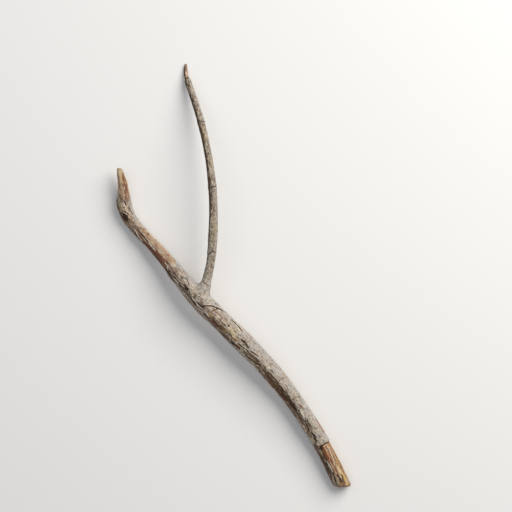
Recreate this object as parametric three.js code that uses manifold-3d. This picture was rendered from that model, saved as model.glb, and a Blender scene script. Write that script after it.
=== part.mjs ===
// A fallen, weathered tree branch lying on the ground, in millimetres, +Z up.
// The leader runs from the cut butt, past the fork, over a knuckle to a snapped stub. A thin side twig
// leaves it at the fork and droops until its tip touches the ground. The branch rests on three spots:
// under the butt, under the knuckle and under the twig's tip.
// Angles round a limb start at its right-hand side, looking along it from the butt, and turn up and over:
// 90 is the top, 180 the left-hand side and 270 the underside.
import * as THREE from "three";
import { mergeVertices } from "three/addons/utils/BufferGeometryUtils.js";
import Module from "manifold-3d";

const wasm = await Module();
wasm.setup();

const BARK_THICKNESS = 1.1;
const JOINT_GAP = 0.3; // left between two pieces that meet at the fork
const GROUND_SIZE = 700;

// The bare wood lies lower than the bark by these shares of the bark's thickness. The butt swells towards
// its cut end, and most of the loss on the stub is worn away there already.
const BARE_DEPTH = { buttEnd: 0.35, buttTop: 1, strip: 0.8, stub: 0.35, twigTip: 0.5 };

// Where the leader's centre runs, and how thick it is there.
const LEADER = [
  { x: 137.4, y: -264.6, z: 9.4, radius: 10.6 }, // cut butt
  { x: 112.0, y: -214.0, z: 11.4, radius: 10.7 },
  { x: 91.0, y: -179.3, z: 14.2, radius: 10.8 },
  { x: 68.0, y: -146.0, z: 17.5, radius: 11.2 },
  { x: 42.0, y: -115.0, z: 20.1, radius: 12.3 },
  { x: 14.0, y: -85.5, z: 22.0, radius: 12.9 },
  { x: -15.0, y: -56.8, z: 23.0, radius: 12.5 },
  { x: -31.0, y: -41.4, z: 23.3, radius: 12.7 },
  { x: -45.5, y: -26.6, z: 23.0, radius: 12.1 }, // fork
  { x: -65.2, y: -4.6, z: 21.2, radius: 10.4 },
  { x: -89.0, y: 25.3, z: 17.0, radius: 9.0 },
  { x: -107.5, y: 45.6, z: 13.2, radius: 8.3 },
  { x: -122.6, y: 61.6, z: 10.3, radius: 7.9 },
  { x: -133.0, y: 76.6, z: 9.0, radius: 8.8 },
  { x: -136.8, y: 90.0, z: 9.1, radius: 9.6 }, // knuckle
  { x: -137.4, y: 101.5, z: 10.6, radius: 8.0 },
  { x: -138.6, y: 113.0, z: 13.0, radius: 6.5 },
  { x: -141.0, y: 125.0, z: 15.9, radius: 4.9 },
  { x: -142.4, y: 133.6, z: 18.0, radius: 2.8 }, // snapped end of the stub
];

// The same for the side twig, from inside the fork to its bare tip.
const TWIG = [
  { x: -39.0, y: -29.0, z: 24.5, radius: 6.0 },
  { x: -32.2, y: -1.3, z: 30.0, radius: 5.5 },
  { x: -28.2, y: 18.0, z: 34.5, radius: 5.4 },
  { x: -25.2, y: 55.0, z: 41.0, radius: 5.7 },
  { x: -25.3, y: 96.6, z: 43.0, radius: 5.5 },
  { x: -30.2, y: 142.0, z: 37.5, radius: 4.7 },
  { x: -39.3, y: 186.3, z: 26.0, radius: 4.5 },
  { x: -47.8, y: 215.3, z: 16.0, radius: 4.5 },
  { x: -55.6, y: 237.5, z: 8.2, radius: 4.2 },
  { x: -59.3, y: 250.0, z: 4.3, radius: 3.1 }, // bark ends
  { x: -60.0, y: 258.0, z: 1.7, radius: 2.5 },
  { x: -59.7, y: 264.8, z: 1.1, radius: 1.4 },
];

// Distances along the leader, from the butt.
const BARE_BUTT_LENGTH = 58;
const FORK_CUT = 330;
const EDGE_LENGTH = 0.7; // over which a bark edge steps down to the wood
const BARE_STRIP = { start: 350, end: 423, fromAngle: -10, toAngle: 205 };
const BARE_STUB_START = 466;

// Distances along the twig, from inside the fork.
const TWIG_CUT = 27;
const TWIG_BARK_END = 286;

// The butt was cut at a slant: its right-hand edge reaches further back, and this fades out along the stem.
const BUTT_SLANT = -0.46;
const SLANT_LENGTH = 24;

// The collar is where the twig's base swells into the leader, most on its left, inside the fork.
const COLLAR_SWELL = { least: 1.1, most: 3.8 };
const COLLAR_START = 2;
const COLLAR_FOOT = 13;
const COLLAR_REACH = 6.7;

// Lumps stand out by their height and hollows have a negative one. Length and width are to half height.
const LEADER_RELIEF = [
  { name: "split in the bare butt", at: 24, length: 36, angle: 120, width: 3.4, height: -2.4 },
  { name: "ridge beside the split", at: 24, length: 40, angle: 98, width: 6, height: 0.5 },
  { name: "second check near the end", at: 10, length: 14, angle: 84, width: 3.4, height: -1.6 },
  { name: "long split under loose bark", at: 103, length: 20, angle: 116, width: 3.6, height: -1.5 },
  { name: "flat where bark has flaked away", at: 152, length: 90, angle: 142, width: 12, height: -0.9 },
  { name: "flaked gouges above mid length", at: 212, length: 34, angle: 104, width: 6, height: -1.0 },
  { name: "flaked patch below the fork", at: 250, length: 26, angle: 118, width: 10, height: -0.9 },
  { name: "elbow under the fork", at: 304, length: 48, angle: 184, width: 16, height: 0.5 },
  { name: "old wound beside the fork", at: 314, length: 14, angle: 108, width: 6, height: -1.4 },
  { name: "trench beside the bare strip", at: 402, length: 30, angle: 112, width: 4, height: -1.2 },
  { name: "knuckle lump", at: 454, length: 16, angle: 180, width: 11, height: 0.6 },
  { name: "round scar below the knuckle", at: 435, length: 8, angle: 120, width: 7, height: -1.5 },
  { name: "flat left where the stub tore", at: 484, length: 34, angle: 60, width: 7, height: -0.8 },
];

const WAVES = [
  { height: 0.22, pitch: 11, lobes: 2 },
  { height: 0.18, pitch: 23, lobes: -3 },
];
const TWIG_UNEVENNESS = 0.5; // share of the leader's

const TWIG_RELIEF = [
  { name: "swelling at the first bud scar", at: 61, length: 6, angle: 90, width: 40, height: 0.35 },
  { name: "swelling at the second bud scar", at: 142, length: 6, angle: 90, width: 40, height: 0.35 },
  { name: "swelling at the third bud scar", at: 225, length: 6, angle: 90, width: 40, height: 0.3 },
  { name: "torn face of the tip", at: 297, length: 16, angle: 60, width: 3, height: -0.6 },
];

/** A smooth centre line with its radius, read by the distance along it. */
class Limb {
  constructor(stations, relief) {
    this.relief = relief;
    this.curve = new THREE.CatmullRomCurve3(
      stations.map((s) => new THREE.Vector3(s.x, s.y, s.z)),
      false,
      "centripetal",
    );
    this.curve.arcLengthDivisions = 1200;
    this.length = this.curve.getLength();
    const last = stations.length - 1;
    this.radii = stations.map((s) => s.radius);
    this.radiusAtShare = (share) => {
      const place = this.curve.getUtoTmapping(share) * last;
      const before = Math.min(Math.floor(place), last - 1);
      const [r0, r1] = [this.radii[before], this.radii[before + 1]];
      return r0 + (r1 - r0) * THREE.MathUtils.smoothstep(place - before, 0, 1);
    };
  }

  /** Centre, direction, side and top of the cross-section at a distance from the limb's start. */
  section(at) {
    const share = THREE.MathUtils.clamp(at / this.length, 0, 1);
    const centre = this.curve.getPointAt(share);
    const along = this.curve.getTangentAt(share);
    const side = along.clone().cross(new THREE.Vector3(0, 0, 1)).normalize();
    const top = side.clone().cross(along);
    return { centre, along, side, top, radius: this.radiusAtShare(share) };
  }

  /** How far the lumps and hollows move the surface at a place. */
  reliefAt(at, angle, radius) {
    let moved = 0;
    for (const r of this.relief) {
      const turn = Math.abs(((angle - r.angle + 540) % 360) - 180);
      const across = (THREE.MathUtils.degToRad(turn) * radius) / (r.width / 2);
      const lengthways = (at - r.at) / (r.length / 2);
      moved += r.height * Math.exp(-Math.LN2 * (across ** 2 + lengthways ** 4));
    }
    return moved;
  }
}

/** How much bark is missing from the leader at a place, from 0 where it is whole to 1 where it is bare. */
function bareLeader(at, angle) {
  if (at < BARE_BUTT_LENGTH || at > BARE_STUB_START) return 1;
  const { start, end, fromAngle, toAngle } = BARE_STRIP;
  const turned = ((angle - fromAngle + 360) % 360) + fromAngle;
  return at > start && at < end && turned < toAngle ? 1 : 0;
}

const bareTwig = (at) => (at > TWIG_BARK_END ? 1 : 0);

/** Gentle unevenness that keeps a limb from looking turned: waves that wind round it. */
function unevenness(at, angle) {
  const turn = THREE.MathUtils.degToRad(angle);
  return WAVES.reduce((sum, w) => sum + w.height * Math.sin(at / w.pitch + w.lobes * turn), 0);
}

/** The surface's distance from the leader's centre. */
function leaderRadius(leader, at, angle, radius) {
  const bark = bareLeader(at, angle) * BARK_THICKNESS;
  return radius - bark * woodShare(at) + leader.reliefAt(at, angle, radius) + unevenness(at, angle);
}

/** How deep the bare wood lies at a distance along the leader. */
function woodShare(at) {
  if (at < BARE_BUTT_LENGTH) {
    return THREE.MathUtils.lerp(BARE_DEPTH.buttEnd, BARE_DEPTH.buttTop, at / BARE_BUTT_LENGTH);
  }
  return at > BARE_STUB_START ? BARE_DEPTH.stub : BARE_DEPTH.strip;
}

function twigRadius(twig, at, angle, radius) {
  const bark = bareTwig(at) * BARK_THICKNESS * BARE_DEPTH.twigTip;
  return radius - bark + twig.reliefAt(at, angle, radius) + TWIG_UNEVENNESS * unevenness(at, angle);
}

/** Even ring places from start to end, with a close pair at each edge of the bark between them. */
function ringPlaces(start, end, spacing, barkEdges = []) {
  const count = Math.round((end - start) / spacing);
  const even = Array.from({ length: count + 1 }, (_, i) => start + ((end - start) * i) / count);
  const clear = even.filter((place) => barkEdges.every((edge) => Math.abs(place - edge) > spacing / 3));
  const pairs = barkEdges.flatMap((edge) => [edge - EDGE_LENGTH / 2, edge + EDGE_LENGTH / 2]);
  return [...clear, ...pairs].sort((a, b) => a - b);
}

/** A closed skin over rings of points, from the first ring to the last, each end closed by a fan. */
function skin(rings) {
  const sides = rings[0].length;
  const centres = [rings[0], rings[rings.length - 1]].map((ring) =>
    ring.reduce((sum, p) => sum.add(p), new THREE.Vector3()).divideScalar(sides),
  );
  const points = [...rings.flat(), ...centres];
  const at = (ring, side) => ring * sides + (side % sides);
  const [startCentre, endCentre] = [points.length - 2, points.length - 1];
  const faces = [];
  for (let side = 0; side < sides; side++) {
    for (let ring = 0; ring + 1 < rings.length; ring++) {
      faces.push(at(ring, side), at(ring + 1, side), at(ring + 1, side + 1));
      faces.push(at(ring, side), at(ring + 1, side + 1), at(ring, side + 1));
    }
    faces.push(startCentre, at(0, side), at(0, side + 1));
    faces.push(endCentre, at(rings.length - 1, side + 1), at(rings.length - 1, side));
  }
  const geometry = new THREE.BufferGeometry().setFromPoints(points);
  return geometry.setIndex(faces);
}

/** One ring of surface points round a limb. shrink draws it in towards the centre, as at a worn end. */
function ring(limb, at, sides, radiusAt, shrink = 1, slant = 0) {
  const { centre, along, side, top, radius } = limb.section(at);
  return Array.from({ length: sides }, (_, i) => {
    const angle = (360 * i) / sides;
    const turn = THREE.MathUtils.degToRad(angle);
    const reach = radiusAt(limb, at, angle, radius) * shrink;
    return centre
      .clone()
      .addScaledVector(side, reach * Math.cos(turn))
      .addScaledVector(top, reach * Math.sin(turn))
      .addScaledVector(along, slant * reach * Math.cos(turn));
  });
}

/** A manifold solid of a geometry, and back. */
function solidOf(geometry) {
  const bare = new THREE.BufferGeometry()
    .setAttribute("position", geometry.getAttribute("position"))
    .setIndex(geometry.index);
  const merged = mergeVertices(bare, 1e-4);
  return new wasm.Manifold(
    new wasm.Mesh({
      numProp: 3,
      vertProperties: merged.attributes.position.array,
      triVerts: new Uint32Array(merged.index.array),
    }),
  );
}

function geometryOf(solid) {
  const { vertProperties, triVerts } = solid.getMesh();
  const geometry = new THREE.BufferGeometry();
  geometry.setAttribute("position", new THREE.BufferAttribute(vertProperties, 3));
  geometry.setIndex(new THREE.BufferAttribute(triVerts, 1));
  geometry.computeVertexNormals();
  return geometry;
}

/** Everything below the ground, which the resting spots are worn flat against. */
function ground() {
  const block = new THREE.BoxGeometry(GROUND_SIZE, GROUND_SIZE, GROUND_SIZE);
  block.deleteAttribute("normal");
  block.deleteAttribute("uv");
  block.translate(0, 0, -GROUND_SIZE / 2);
  return solidOf(block);
}

function namedMesh(name, solid, material) {
  const mesh = new THREE.Mesh(geometryOf(solid.subtract(ground())), material);
  mesh.name = name;
  return mesh;
}

// The butt's edge is worn round: each ring has only this share of the stem's radius.
const WORN_END = {
  length: 7,
  rings: [
    { at: 0, share: 0.6 },
    { at: 0.9, share: 0.82 },
    { at: 3.2, share: 0.96 },
  ],
};

// How finely each limb is drawn: sides round it, and millimetres between rings.
const STEM_MESH = { sides: 30, spacing: 5.5 };
const LIMB_MESH = { sides: 26, spacing: 4.2 };
const COLLAR_MESH = { sides: 24, spacing: 1.8 };
const TWIG_MESH = { sides: 16, spacing: 5.5 };

// The limbs' last rings, drawn in to a blunt point: the stub is torn at a slant.
const STUB_POINT = { length: 2, share: 0.6, slant: 0.4 };
const TWIG_POINT = { length: 1.2, share: 0.5 };

const leader = new Limb(LEADER, LEADER_RELIEF);
const twig = new Limb(TWIG, TWIG_RELIEF);

/** The stem from its cut butt to just past the fork, with the collar that the twig grows from. */
function mainStem() {
  const end = FORK_CUT - JOINT_GAP / 2;
  const places = ringPlaces(WORN_END.length, end, STEM_MESH.spacing, [BARE_BUTT_LENGTH]);
  const wornEnd = WORN_END.rings.map(({ at, share }) => stemRing(at, share));
  const stem = solidOf(skin([...wornEnd, ...places.map((at) => stemRing(at, 1))]));
  return namedMesh("main_stem", stem.add(collar()), finishes.stem);
}

/** A ring of the stem, slanted near the butt. */
function stemRing(at, share) {
  const slant = BUTT_SLANT * (1 - THREE.MathUtils.smoothstep(at, 0, SLANT_LENGTH));
  return ring(leader, at, STEM_MESH.sides, leaderRadius, share, slant);
}

/** The twig's flared foot, from inside the fork to where the twig's own piece begins. */
function collar() {
  const flared = (limb, at, angle, radius) => {
    const above = Math.max(at - COLLAR_FOOT, 0) / COLLAR_REACH;
    const leftward = (1 - Math.cos(THREE.MathUtils.degToRad(angle))) / 2;
    const swell = THREE.MathUtils.lerp(COLLAR_SWELL.least, COLLAR_SWELL.most, leftward);
    return twigRadius(limb, at, angle, radius) + swell * Math.exp(-(above ** 2));
  };
  const places = ringPlaces(COLLAR_START, TWIG_CUT - JOINT_GAP / 2, COLLAR_MESH.spacing);
  return solidOf(skin(places.map((at) => ring(twig, at, COLLAR_MESH.sides, flared))));
}

/** The leader past the fork, over the knuckle to the snapped stub. */
function upperLimb() {
  const start = FORK_CUT + JOINT_GAP / 2;
  const barkEdges = [BARE_STRIP.start, BARE_STRIP.end, BARE_STUB_START];
  const places = ringPlaces(start, leader.length - STUB_POINT.length, LIMB_MESH.spacing, barkEdges);
  const rings = places.map((at) => ring(leader, at, LIMB_MESH.sides, leaderRadius));
  const { share, slant } = STUB_POINT;
  const point = ring(leader, leader.length, LIMB_MESH.sides, leaderRadius, share, slant);
  return namedMesh("upper_limb", solidOf(skin([...rings, point])), finishes.limb);
}

/** The thin side twig, from the collar to its bare tip on the ground. */
function sideTwig() {
  const start = TWIG_CUT + JOINT_GAP / 2;
  const places = ringPlaces(start, twig.length - TWIG_POINT.length, TWIG_MESH.spacing, [TWIG_BARK_END]);
  const rings = places.map((at) => ring(twig, at, TWIG_MESH.sides, twigRadius));
  const point = ring(twig, twig.length, TWIG_MESH.sides, twigRadius, TWIG_POINT.share);
  return namedMesh("side_twig", solidOf(skin([...rings, point])), finishes.twig);
}

const finishes = {
  stem: new THREE.MeshStandardMaterial({ color: 0xa39686, roughness: 0.9, metalness: 0 }),
  limb: new THREE.MeshStandardMaterial({ color: 0xa98a69, roughness: 0.8, metalness: 0 }),
  twig: new THREE.MeshStandardMaterial({ color: 0x8d8071, roughness: 0.88, metalness: 0 }),
};

const branch = new THREE.Group();
branch.add(mainStem(), upperLimb(), sideTwig());

export default branch;
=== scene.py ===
"""A fallen, weathered tree branch, lying on a pale floor.

Each limb is a skin of rings round a smooth centre line. Lengths are millimetres until a mesh is made.
Places on a limb are its distance from the limb's start and its angle round the limb in degrees: 0 is the
right-hand side looking along it from the butt, 90 the top, 180 the left-hand side, 270 the underside.
"""
import itertools
import logging
import math
from collections.abc import Iterator
from dataclasses import dataclass, replace
from enum import Enum

import bpy
import numpy as np
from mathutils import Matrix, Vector
from mathutils.kdtree import KDTree


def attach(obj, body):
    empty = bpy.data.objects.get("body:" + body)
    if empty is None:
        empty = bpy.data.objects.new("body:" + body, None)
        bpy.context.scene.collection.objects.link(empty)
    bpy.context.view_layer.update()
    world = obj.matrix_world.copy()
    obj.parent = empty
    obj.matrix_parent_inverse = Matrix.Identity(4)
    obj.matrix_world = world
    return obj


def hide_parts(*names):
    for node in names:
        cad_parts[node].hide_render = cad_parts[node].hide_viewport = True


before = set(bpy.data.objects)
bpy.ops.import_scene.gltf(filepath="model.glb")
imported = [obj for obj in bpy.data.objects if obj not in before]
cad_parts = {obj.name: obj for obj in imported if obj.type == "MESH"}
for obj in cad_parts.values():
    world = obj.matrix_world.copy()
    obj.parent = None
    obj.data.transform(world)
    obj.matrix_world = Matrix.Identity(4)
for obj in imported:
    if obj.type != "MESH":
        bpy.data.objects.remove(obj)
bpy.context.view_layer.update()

LOG = logging.getLogger("branch")
METRES = 0.001
# A distance along a limb and an angle round it.
Place = tuple[float, float]
# A distance to something for each point, and the move along and round the limb that would cover it.
Move = tuple[np.ndarray, np.ndarray, np.ndarray]


class Tint(Enum):
    """What a spot of the skin looks like beyond its bark or wood."""

    # Painted shade in hollows: cracks, holes, creases, splits and the gaps under the bark's edges.
    CAVITY_SHADE = "cavity"
    # Pale breaks and flecks, and painted highlights on raised rims, lips and ridges.
    PALE_AND_HIGHLIGHT = "pale"
    RUST = "rust"
    RUDDY = "ruddy"
    SOOT = "soot"
    HONEY = "honey"


class Noise:
    """Smooth seeded noise in space, from about -1 to 1."""

    CORNERS = np.array(list(itertools.product((0, 1), repeat=3)))
    SLOPES = 256
    GAIN = 1.7
    OCTAVE_SHIFT = 17.3

    def __init__(self, seed: int) -> None:
        """Shuffle the lattice.

        Args:
            seed: Picks one pattern.
        """
        maker = np.random.default_rng(seed)
        self.order = np.tile(maker.permutation(self.SLOPES), 3)
        slopes = maker.normal(size=(self.SLOPES, 3))
        self.slopes = slopes / np.linalg.norm(slopes, axis=1, keepdims=True)

    def _pick(self, cells: np.ndarray) -> np.ndarray:
        """Give each lattice cell the number of its slope."""
        x, y, z = (cells[:, axis] & (self.SLOPES - 1) for axis in range(3))
        return self.order[self.order[self.order[x] + y] + z]

    def smooth(self, places: np.ndarray) -> np.ndarray:
        """Read one octave.

        Args:
            places: Points in space, one row each, a lattice cell being 1 wide.

        Returns:
            The noise at each point.
        """
        cells = np.floor(places).astype(np.int64)
        inside = places - cells
        ease = inside**3 * (inside * (inside * 6 - 15) + 10)
        total = np.zeros(len(places))
        for corner in self.CORNERS:
            slopes = self.slopes[self._pick(cells + corner)]
            weight = np.where(corner, ease, 1 - ease).prod(axis=1)
            total += weight * ((inside - corner) * slopes).sum(axis=1)
        return total * self.GAIN

    def fractal(self, places: np.ndarray, octaves: int = 3, gain: float = 0.5) -> np.ndarray:
        """Add finer octaves to the noise.

        Args:
            places: Points in space.
            octaves: How many, each twice as fine as the last.
            gain: How strong each is beside the last.

        Returns:
            The noise at each point, from about -1 to 1.
        """
        strengths = [gain**k for k in range(octaves)]
        layers = [s * self.smooth(places * 2**k + self.OCTAVE_SHIFT * k) for k, s in enumerate(strengths)]
        return sum(layers) / sum(strengths)


LUMPS = Noise(3)
GRIT = Noise(11)
FIBRE = Noise(23)
RAGGED = Noise(41)


def ease_between(low: float, high: float, values: np.ndarray) -> np.ndarray:
    """Rise smoothly from 0 at low to 1 at high."""
    share = np.clip((values - low) / (high - low), 0, 1)
    return share * share * (3 - 2 * share)


def turned(angle: np.ndarray | float, start: np.ndarray | float) -> np.ndarray:
    """Angle from start, wrapped to between -180 and 180."""
    return (np.asarray(angle) - start + 180) % 360 - 180


@dataclass(frozen=True)
class Station:
    """A place on a limb's centre line, and how thick the limb is there."""

    x: float
    y: float
    z: float
    radius: float


@dataclass(frozen=True)
class Swell:
    """A lump or, with a negative height, a hollow. Length and width are to half height."""

    at: float
    length: float
    angle: float
    width: float
    height: float


@dataclass
class Sections:
    """Cross-sections of a limb, one row each: where it is, and its three directions."""

    centre: np.ndarray
    along: np.ndarray
    side: np.ndarray
    top: np.ndarray


@dataclass
class Limb:
    """A grown limb: a smooth centre line with its thickness, lumps and hollows."""

    stations: tuple[Station, ...]
    swells: tuple[Swell, ...] = ()
    waviness: float = 1.0
    samples_per_span: int = 160

    # Gentle waves of the skin, each as height, length and turns round the limb.
    WAVES = ((0.22, 11, 2), (0.18, 23, -3))
    SEARCH_STEP = 0.5

    def __post_init__(self) -> None:
        """Sample the centre line finely."""
        knots = np.array([(s.x, s.y, s.z) for s in self.stations])
        guide = np.vstack([2 * knots[0] - knots[1], knots, 2 * knots[-1] - knots[-2]])
        share = np.arange(self.samples_per_span)[:, None] / self.samples_per_span
        spans = [self._span(guide[i : i + 4], share) for i in range(len(knots) - 1)]
        self.line = np.vstack([*spans, knots[-1:]])
        steps = np.linalg.norm(np.diff(self.line, axis=0), axis=1)
        self.lengths = np.concatenate([[0.0], np.cumsum(steps)])
        self.slopes = np.gradient(self.line, self.lengths, axis=0)
        place = np.arange(len(self.line)) / self.samples_per_span
        before = np.minimum(place.astype(int), len(knots) - 2)
        radii = np.array([s.radius for s in self.stations])
        share = ease_between(0, 1, place - before)
        self.radii = radii[before] + (radii[before + 1] - radii[before]) * share
        self.length = float(self.lengths[-1])

    @staticmethod
    def _span(knots: np.ndarray, share: np.ndarray) -> np.ndarray:
        """Sample one span of a centripetal Catmull-Rom curve.

        Args:
            knots: Four places in a row. The span runs between the middle two.
            share: How far along the span each sample lies, from 0 to 1.

        Returns:
            The samples.
        """
        p0, p1, p2, p3 = knots
        d0, d1, d2 = (math.sqrt(np.linalg.norm(b - a)) for a, b in itertools.pairwise(knots))
        t1 = ((p1 - p0) / d0 - (p2 - p0) / (d0 + d1) + (p2 - p1) / d1) * d1
        t2 = ((p2 - p1) / d1 - (p3 - p1) / (d1 + d2) + (p3 - p2) / d2) * d1
        squared = 3 * (p2 - p1) - 2 * t1 - t2
        cubed = 2 * (p1 - p2) + t1 + t2
        return p1 + t1 * share + squared * share**2 + cubed * share**3

    def sections(self, at: np.ndarray) -> Sections:
        """Cut the limb across.

        Args:
            at: Distances along the limb.

        Returns:
            The cross-section at each distance.
        """
        centre = np.stack([np.interp(at, self.lengths, self.line[:, k]) for k in range(3)], axis=-1)
        along = np.stack([np.interp(at, self.lengths, self.slopes[:, k]) for k in range(3)], axis=-1)
        along /= np.linalg.norm(along, axis=-1, keepdims=True)
        side = np.cross(along, (0.0, 0.0, 1.0))
        side /= np.linalg.norm(side, axis=-1, keepdims=True)
        return Sections(centre, along, side, np.cross(side, along))

    def reach(self, at: np.ndarray, angle: np.ndarray) -> np.ndarray:
        """Measure from the centre line to the plain skin, with its lumps and gentle waves.

        Args:
            at: Distances along the limb.
            angle: The angle round the limb for each distance.

        Returns:
            The skin's distance from the centre line at each place.
        """
        radius = np.interp(at, self.lengths, self.radii)
        moved = np.zeros_like(radius)
        for swell in self.swells:
            across = np.radians(turned(angle, swell.angle)) * radius / (swell.width / 2)
            lengthways = (at - swell.at) / (swell.length / 2)
            moved += swell.height * np.exp(-math.log(2) * (across**2 + lengthways**4))
        turn = np.radians(angle)
        waves = sum(high * np.sin(at / length + turns * turn) for high, length, turns in self.WAVES)
        return radius + moved + self.waviness * waves

    def nearest(
        self, places: np.ndarray, low: float, high: float
    ) -> tuple[np.ndarray, np.ndarray, np.ndarray]:
        """Find where points lie beside the limb.

        Args:
            places: Points in space.
            low: Start of the stretch to search.
            high: End of the stretch to search.

        Returns:
            The distance along the limb, the angle round it and the distance from its centre line.
        """
        at = np.arange(low, high, self.SEARCH_STEP)
        cut = self.sections(at)
        offset = places[:, None, :] - cut.centre[None]
        closest = (offset**2).sum(axis=2).argmin(axis=1)
        offset = places - cut.centre[closest]
        beside = (offset * cut.side[closest]).sum(axis=1)
        above = (offset * cut.top[closest]).sum(axis=1)
        ahead = (offset * cut.along[closest]).sum(axis=1)
        angle = np.degrees(np.arctan2(above, beside)) % 360
        return at[closest] + ahead, angle, np.hypot(beside, above)


@dataclass
class Skin:
    """Points on a limb's skin, before any bark or wood is pressed into it."""

    at: np.ndarray
    angle: np.ndarray
    reach: np.ndarray
    place: np.ndarray
    # How plainly the grain shows: 0 at the fork, where it swirls, to 1 away from it.
    grainy: np.ndarray

    def grain_space(self, stretch: float) -> np.ndarray:
        """Places in the straightened limb, its length squeezed so that noise there runs with the grain."""
        turn = np.radians(self.angle)
        return np.stack([self.at / stretch, self.reach * np.cos(turn), self.reach * np.sin(turn)], axis=-1)

    def arc(self, angle: np.ndarray | float) -> np.ndarray:
        """How far round the skin a point is from an angle."""
        return np.radians(turned(self.angle, angle)) * self.reach


@dataclass
class Layers:
    """How far each skin point stands out, what it is made of, and its tints."""

    height: np.ndarray
    outer: np.ndarray
    wood: np.ndarray
    tints: dict[Tint, np.ndarray]

    def tint(self, tint: Tint, strength: np.ndarray) -> None:
        """Add a tint where it is stronger than what is there."""
        self.tints[tint] = np.maximum(self.tints[tint], np.clip(strength, 0, 1))


@dataclass(frozen=True)
class Trace:
    """A crack or, with a positive height, a ridge along a few places on the skin."""

    path: tuple[Place, ...]
    width: float = 1.0
    height: float = -0.9
    tint: Tint = Tint.CAVITY_SHADE
    # How far it strays from its path, and how high the skin is raised beside it.
    wander: float = 0.5
    lip: float = 0.0

    MARGIN = 5.0
    WANDER_SIZE = 2.6

    def offset(self, skin: Skin) -> Move:
        """Find the way from each point to the trace.

        Args:
            skin: The points.

        Returns:
            The distance, and the move along and round the limb that would cover it.
        """
        nearest = np.full(len(skin.at), 1e3)
        move_at = np.zeros_like(nearest)
        move_arc = np.zeros_like(nearest)
        ends = [place[0] for place in self.path]
        near = np.flatnonzero((skin.at > min(ends) - self.MARGIN) & (skin.at < max(ends) + self.MARGIN))
        place = skin.place[near] / self.WANDER_SIZE
        drift_at = self.wander * RAGGED.smooth(place)
        drift_arc = self.wander * RAGGED.smooth(place + 50)
        for (at_a, angle_a), (at_b, angle_b) in itertools.pairwise(self.path):
            start_at = at_a - skin.at[near] + drift_at
            start_arc = np.radians(turned(angle_a, skin.angle[near])) * skin.reach[near] + drift_arc
            run_at = at_b - at_a
            run_arc = np.radians(turned(angle_b, angle_a)) * skin.reach[near]
            share = np.clip(-(start_at * run_at + start_arc * run_arc) / (run_at**2 + run_arc**2), 0, 1)
            to_at = start_at + share * run_at
            to_arc = start_arc + share * run_arc
            away = np.hypot(to_at, to_arc)
            closer = away < nearest[near]
            chosen = near[closer]
            nearest[chosen] = away[closer]
            move_at[chosen] = to_at[closer]
            move_arc[chosen] = to_arc[closer]
        return nearest, move_at, move_arc

    def press(self, skin: Skin, layers: Layers) -> None:
        """Press the trace into the layers, tapering towards its ends.

        Args:
            skin: The skin's points.
            layers: Their layers, which are changed.
        """
        away = self.offset(skin)[0] / (self.width / 2)
        ends = np.array([self.path[0][0], self.path[-1][0]])
        from_end = np.abs(skin.at[:, None] - ends).min(axis=1)
        taper = 0.45 + 0.55 * ease_between(0, 0.2 * abs(ends[1] - ends[0]) + 1, from_end)
        depth = np.clip(1 - (away * 0.8) ** 2, 0, 1) * taper
        layers.height += self.height * depth
        layers.tint(self.tint, ease_between(0.1, 0.65, depth))
        if self.lip:
            rim = np.exp(-((away - 1.9) ** 2) / 0.5) * taper
            layers.height += self.lip * rim
            layers.tint(Tint.PALE_AND_HIGHLIGHT, 0.8 * rim)


@dataclass(frozen=True)
class Hole:
    """A round hole that a beetle left or, where it is ragged, a wider scar."""

    at: float
    angle: float
    across: float = 2.0
    depth: float = 1.8
    stretch: float = 1.0
    rim: float = 0.1
    ragged: float = 0.0

    WALL = 0.12

    def beyond(self, skin: Skin) -> np.ndarray:
        """Measure out from the hole's rim.

        Args:
            skin: The points.

        Returns:
            The distance of each point outside the rim, negative inside.
        """
        reach = np.hypot((skin.at - self.at) / self.stretch, skin.arc(self.angle))
        if not self.ragged:
            return reach - self.across / 2
        return reach - self.across / 2 + self.ragged * RAGGED.fractal(skin.place / 2.4 + 5, 2)

    def press(self, skin: Skin, layers: Layers) -> None:
        """Sink the hole into the layers, and raise its rim.

        Args:
            skin: The skin's points.
            layers: Their layers, which are changed.
        """
        beyond = self.beyond(skin)
        floor = 1 - ease_between(-0.3 * self.across, -self.WALL, beyond)
        inside = (beyond < -self.WALL).astype(float)
        layers.height -= self.depth * inside * (0.55 + 0.45 * floor)
        layers.height += self.rim * np.exp(-((beyond - 0.3) ** 2) / 0.3) * (1 - inside)
        shade = inside + 0.5 * np.exp(-(np.maximum(beyond, 0) ** 2) / 0.08)
        if not self.ragged:
            layers.tint(Tint.CAVITY_SHADE, shade)
            return
        lumps = 0.5 + 0.5 * RAGGED.fractal(skin.place / 1.6 + 15, 2)
        layers.tint(Tint.SOOT, shade)
        layers.tint(Tint.CAVITY_SHADE, inside * (0.15 + 0.6 * lumps))
        layers.height += 0.6 * self.ragged * inside * lumps


@dataclass(frozen=True)
class Stain:
    """A ragged patch of one tint, long with the grain."""

    tint: Tint
    at: float
    angle: float
    length: float
    width: float
    strength: float = 0.8
    sunk: float = 0.0

    def press(self, skin: Skin, layers: Layers) -> None:
        """Lay the stain over the layers.

        Args:
            skin: The skin's points.
            layers: Their layers, which are changed.
        """
        lengthways = (skin.at - self.at) / (self.length / 2)
        from_middle = np.hypot(lengthways, skin.arc(self.angle) / (self.width / 2))
        near = np.flatnonzero(from_middle < 2)
        ragged = 0.55 * RAGGED.fractal(skin.grain_space(2.5)[near] / 2.2 + self.at, 3)
        inside = np.zeros(len(skin.at))
        inside[near] = ease_between(1.3, 0.45, from_middle[near] + ragged)
        layers.tint(self.tint, self.strength * inside)
        layers.height -= self.sunk * inside


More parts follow.
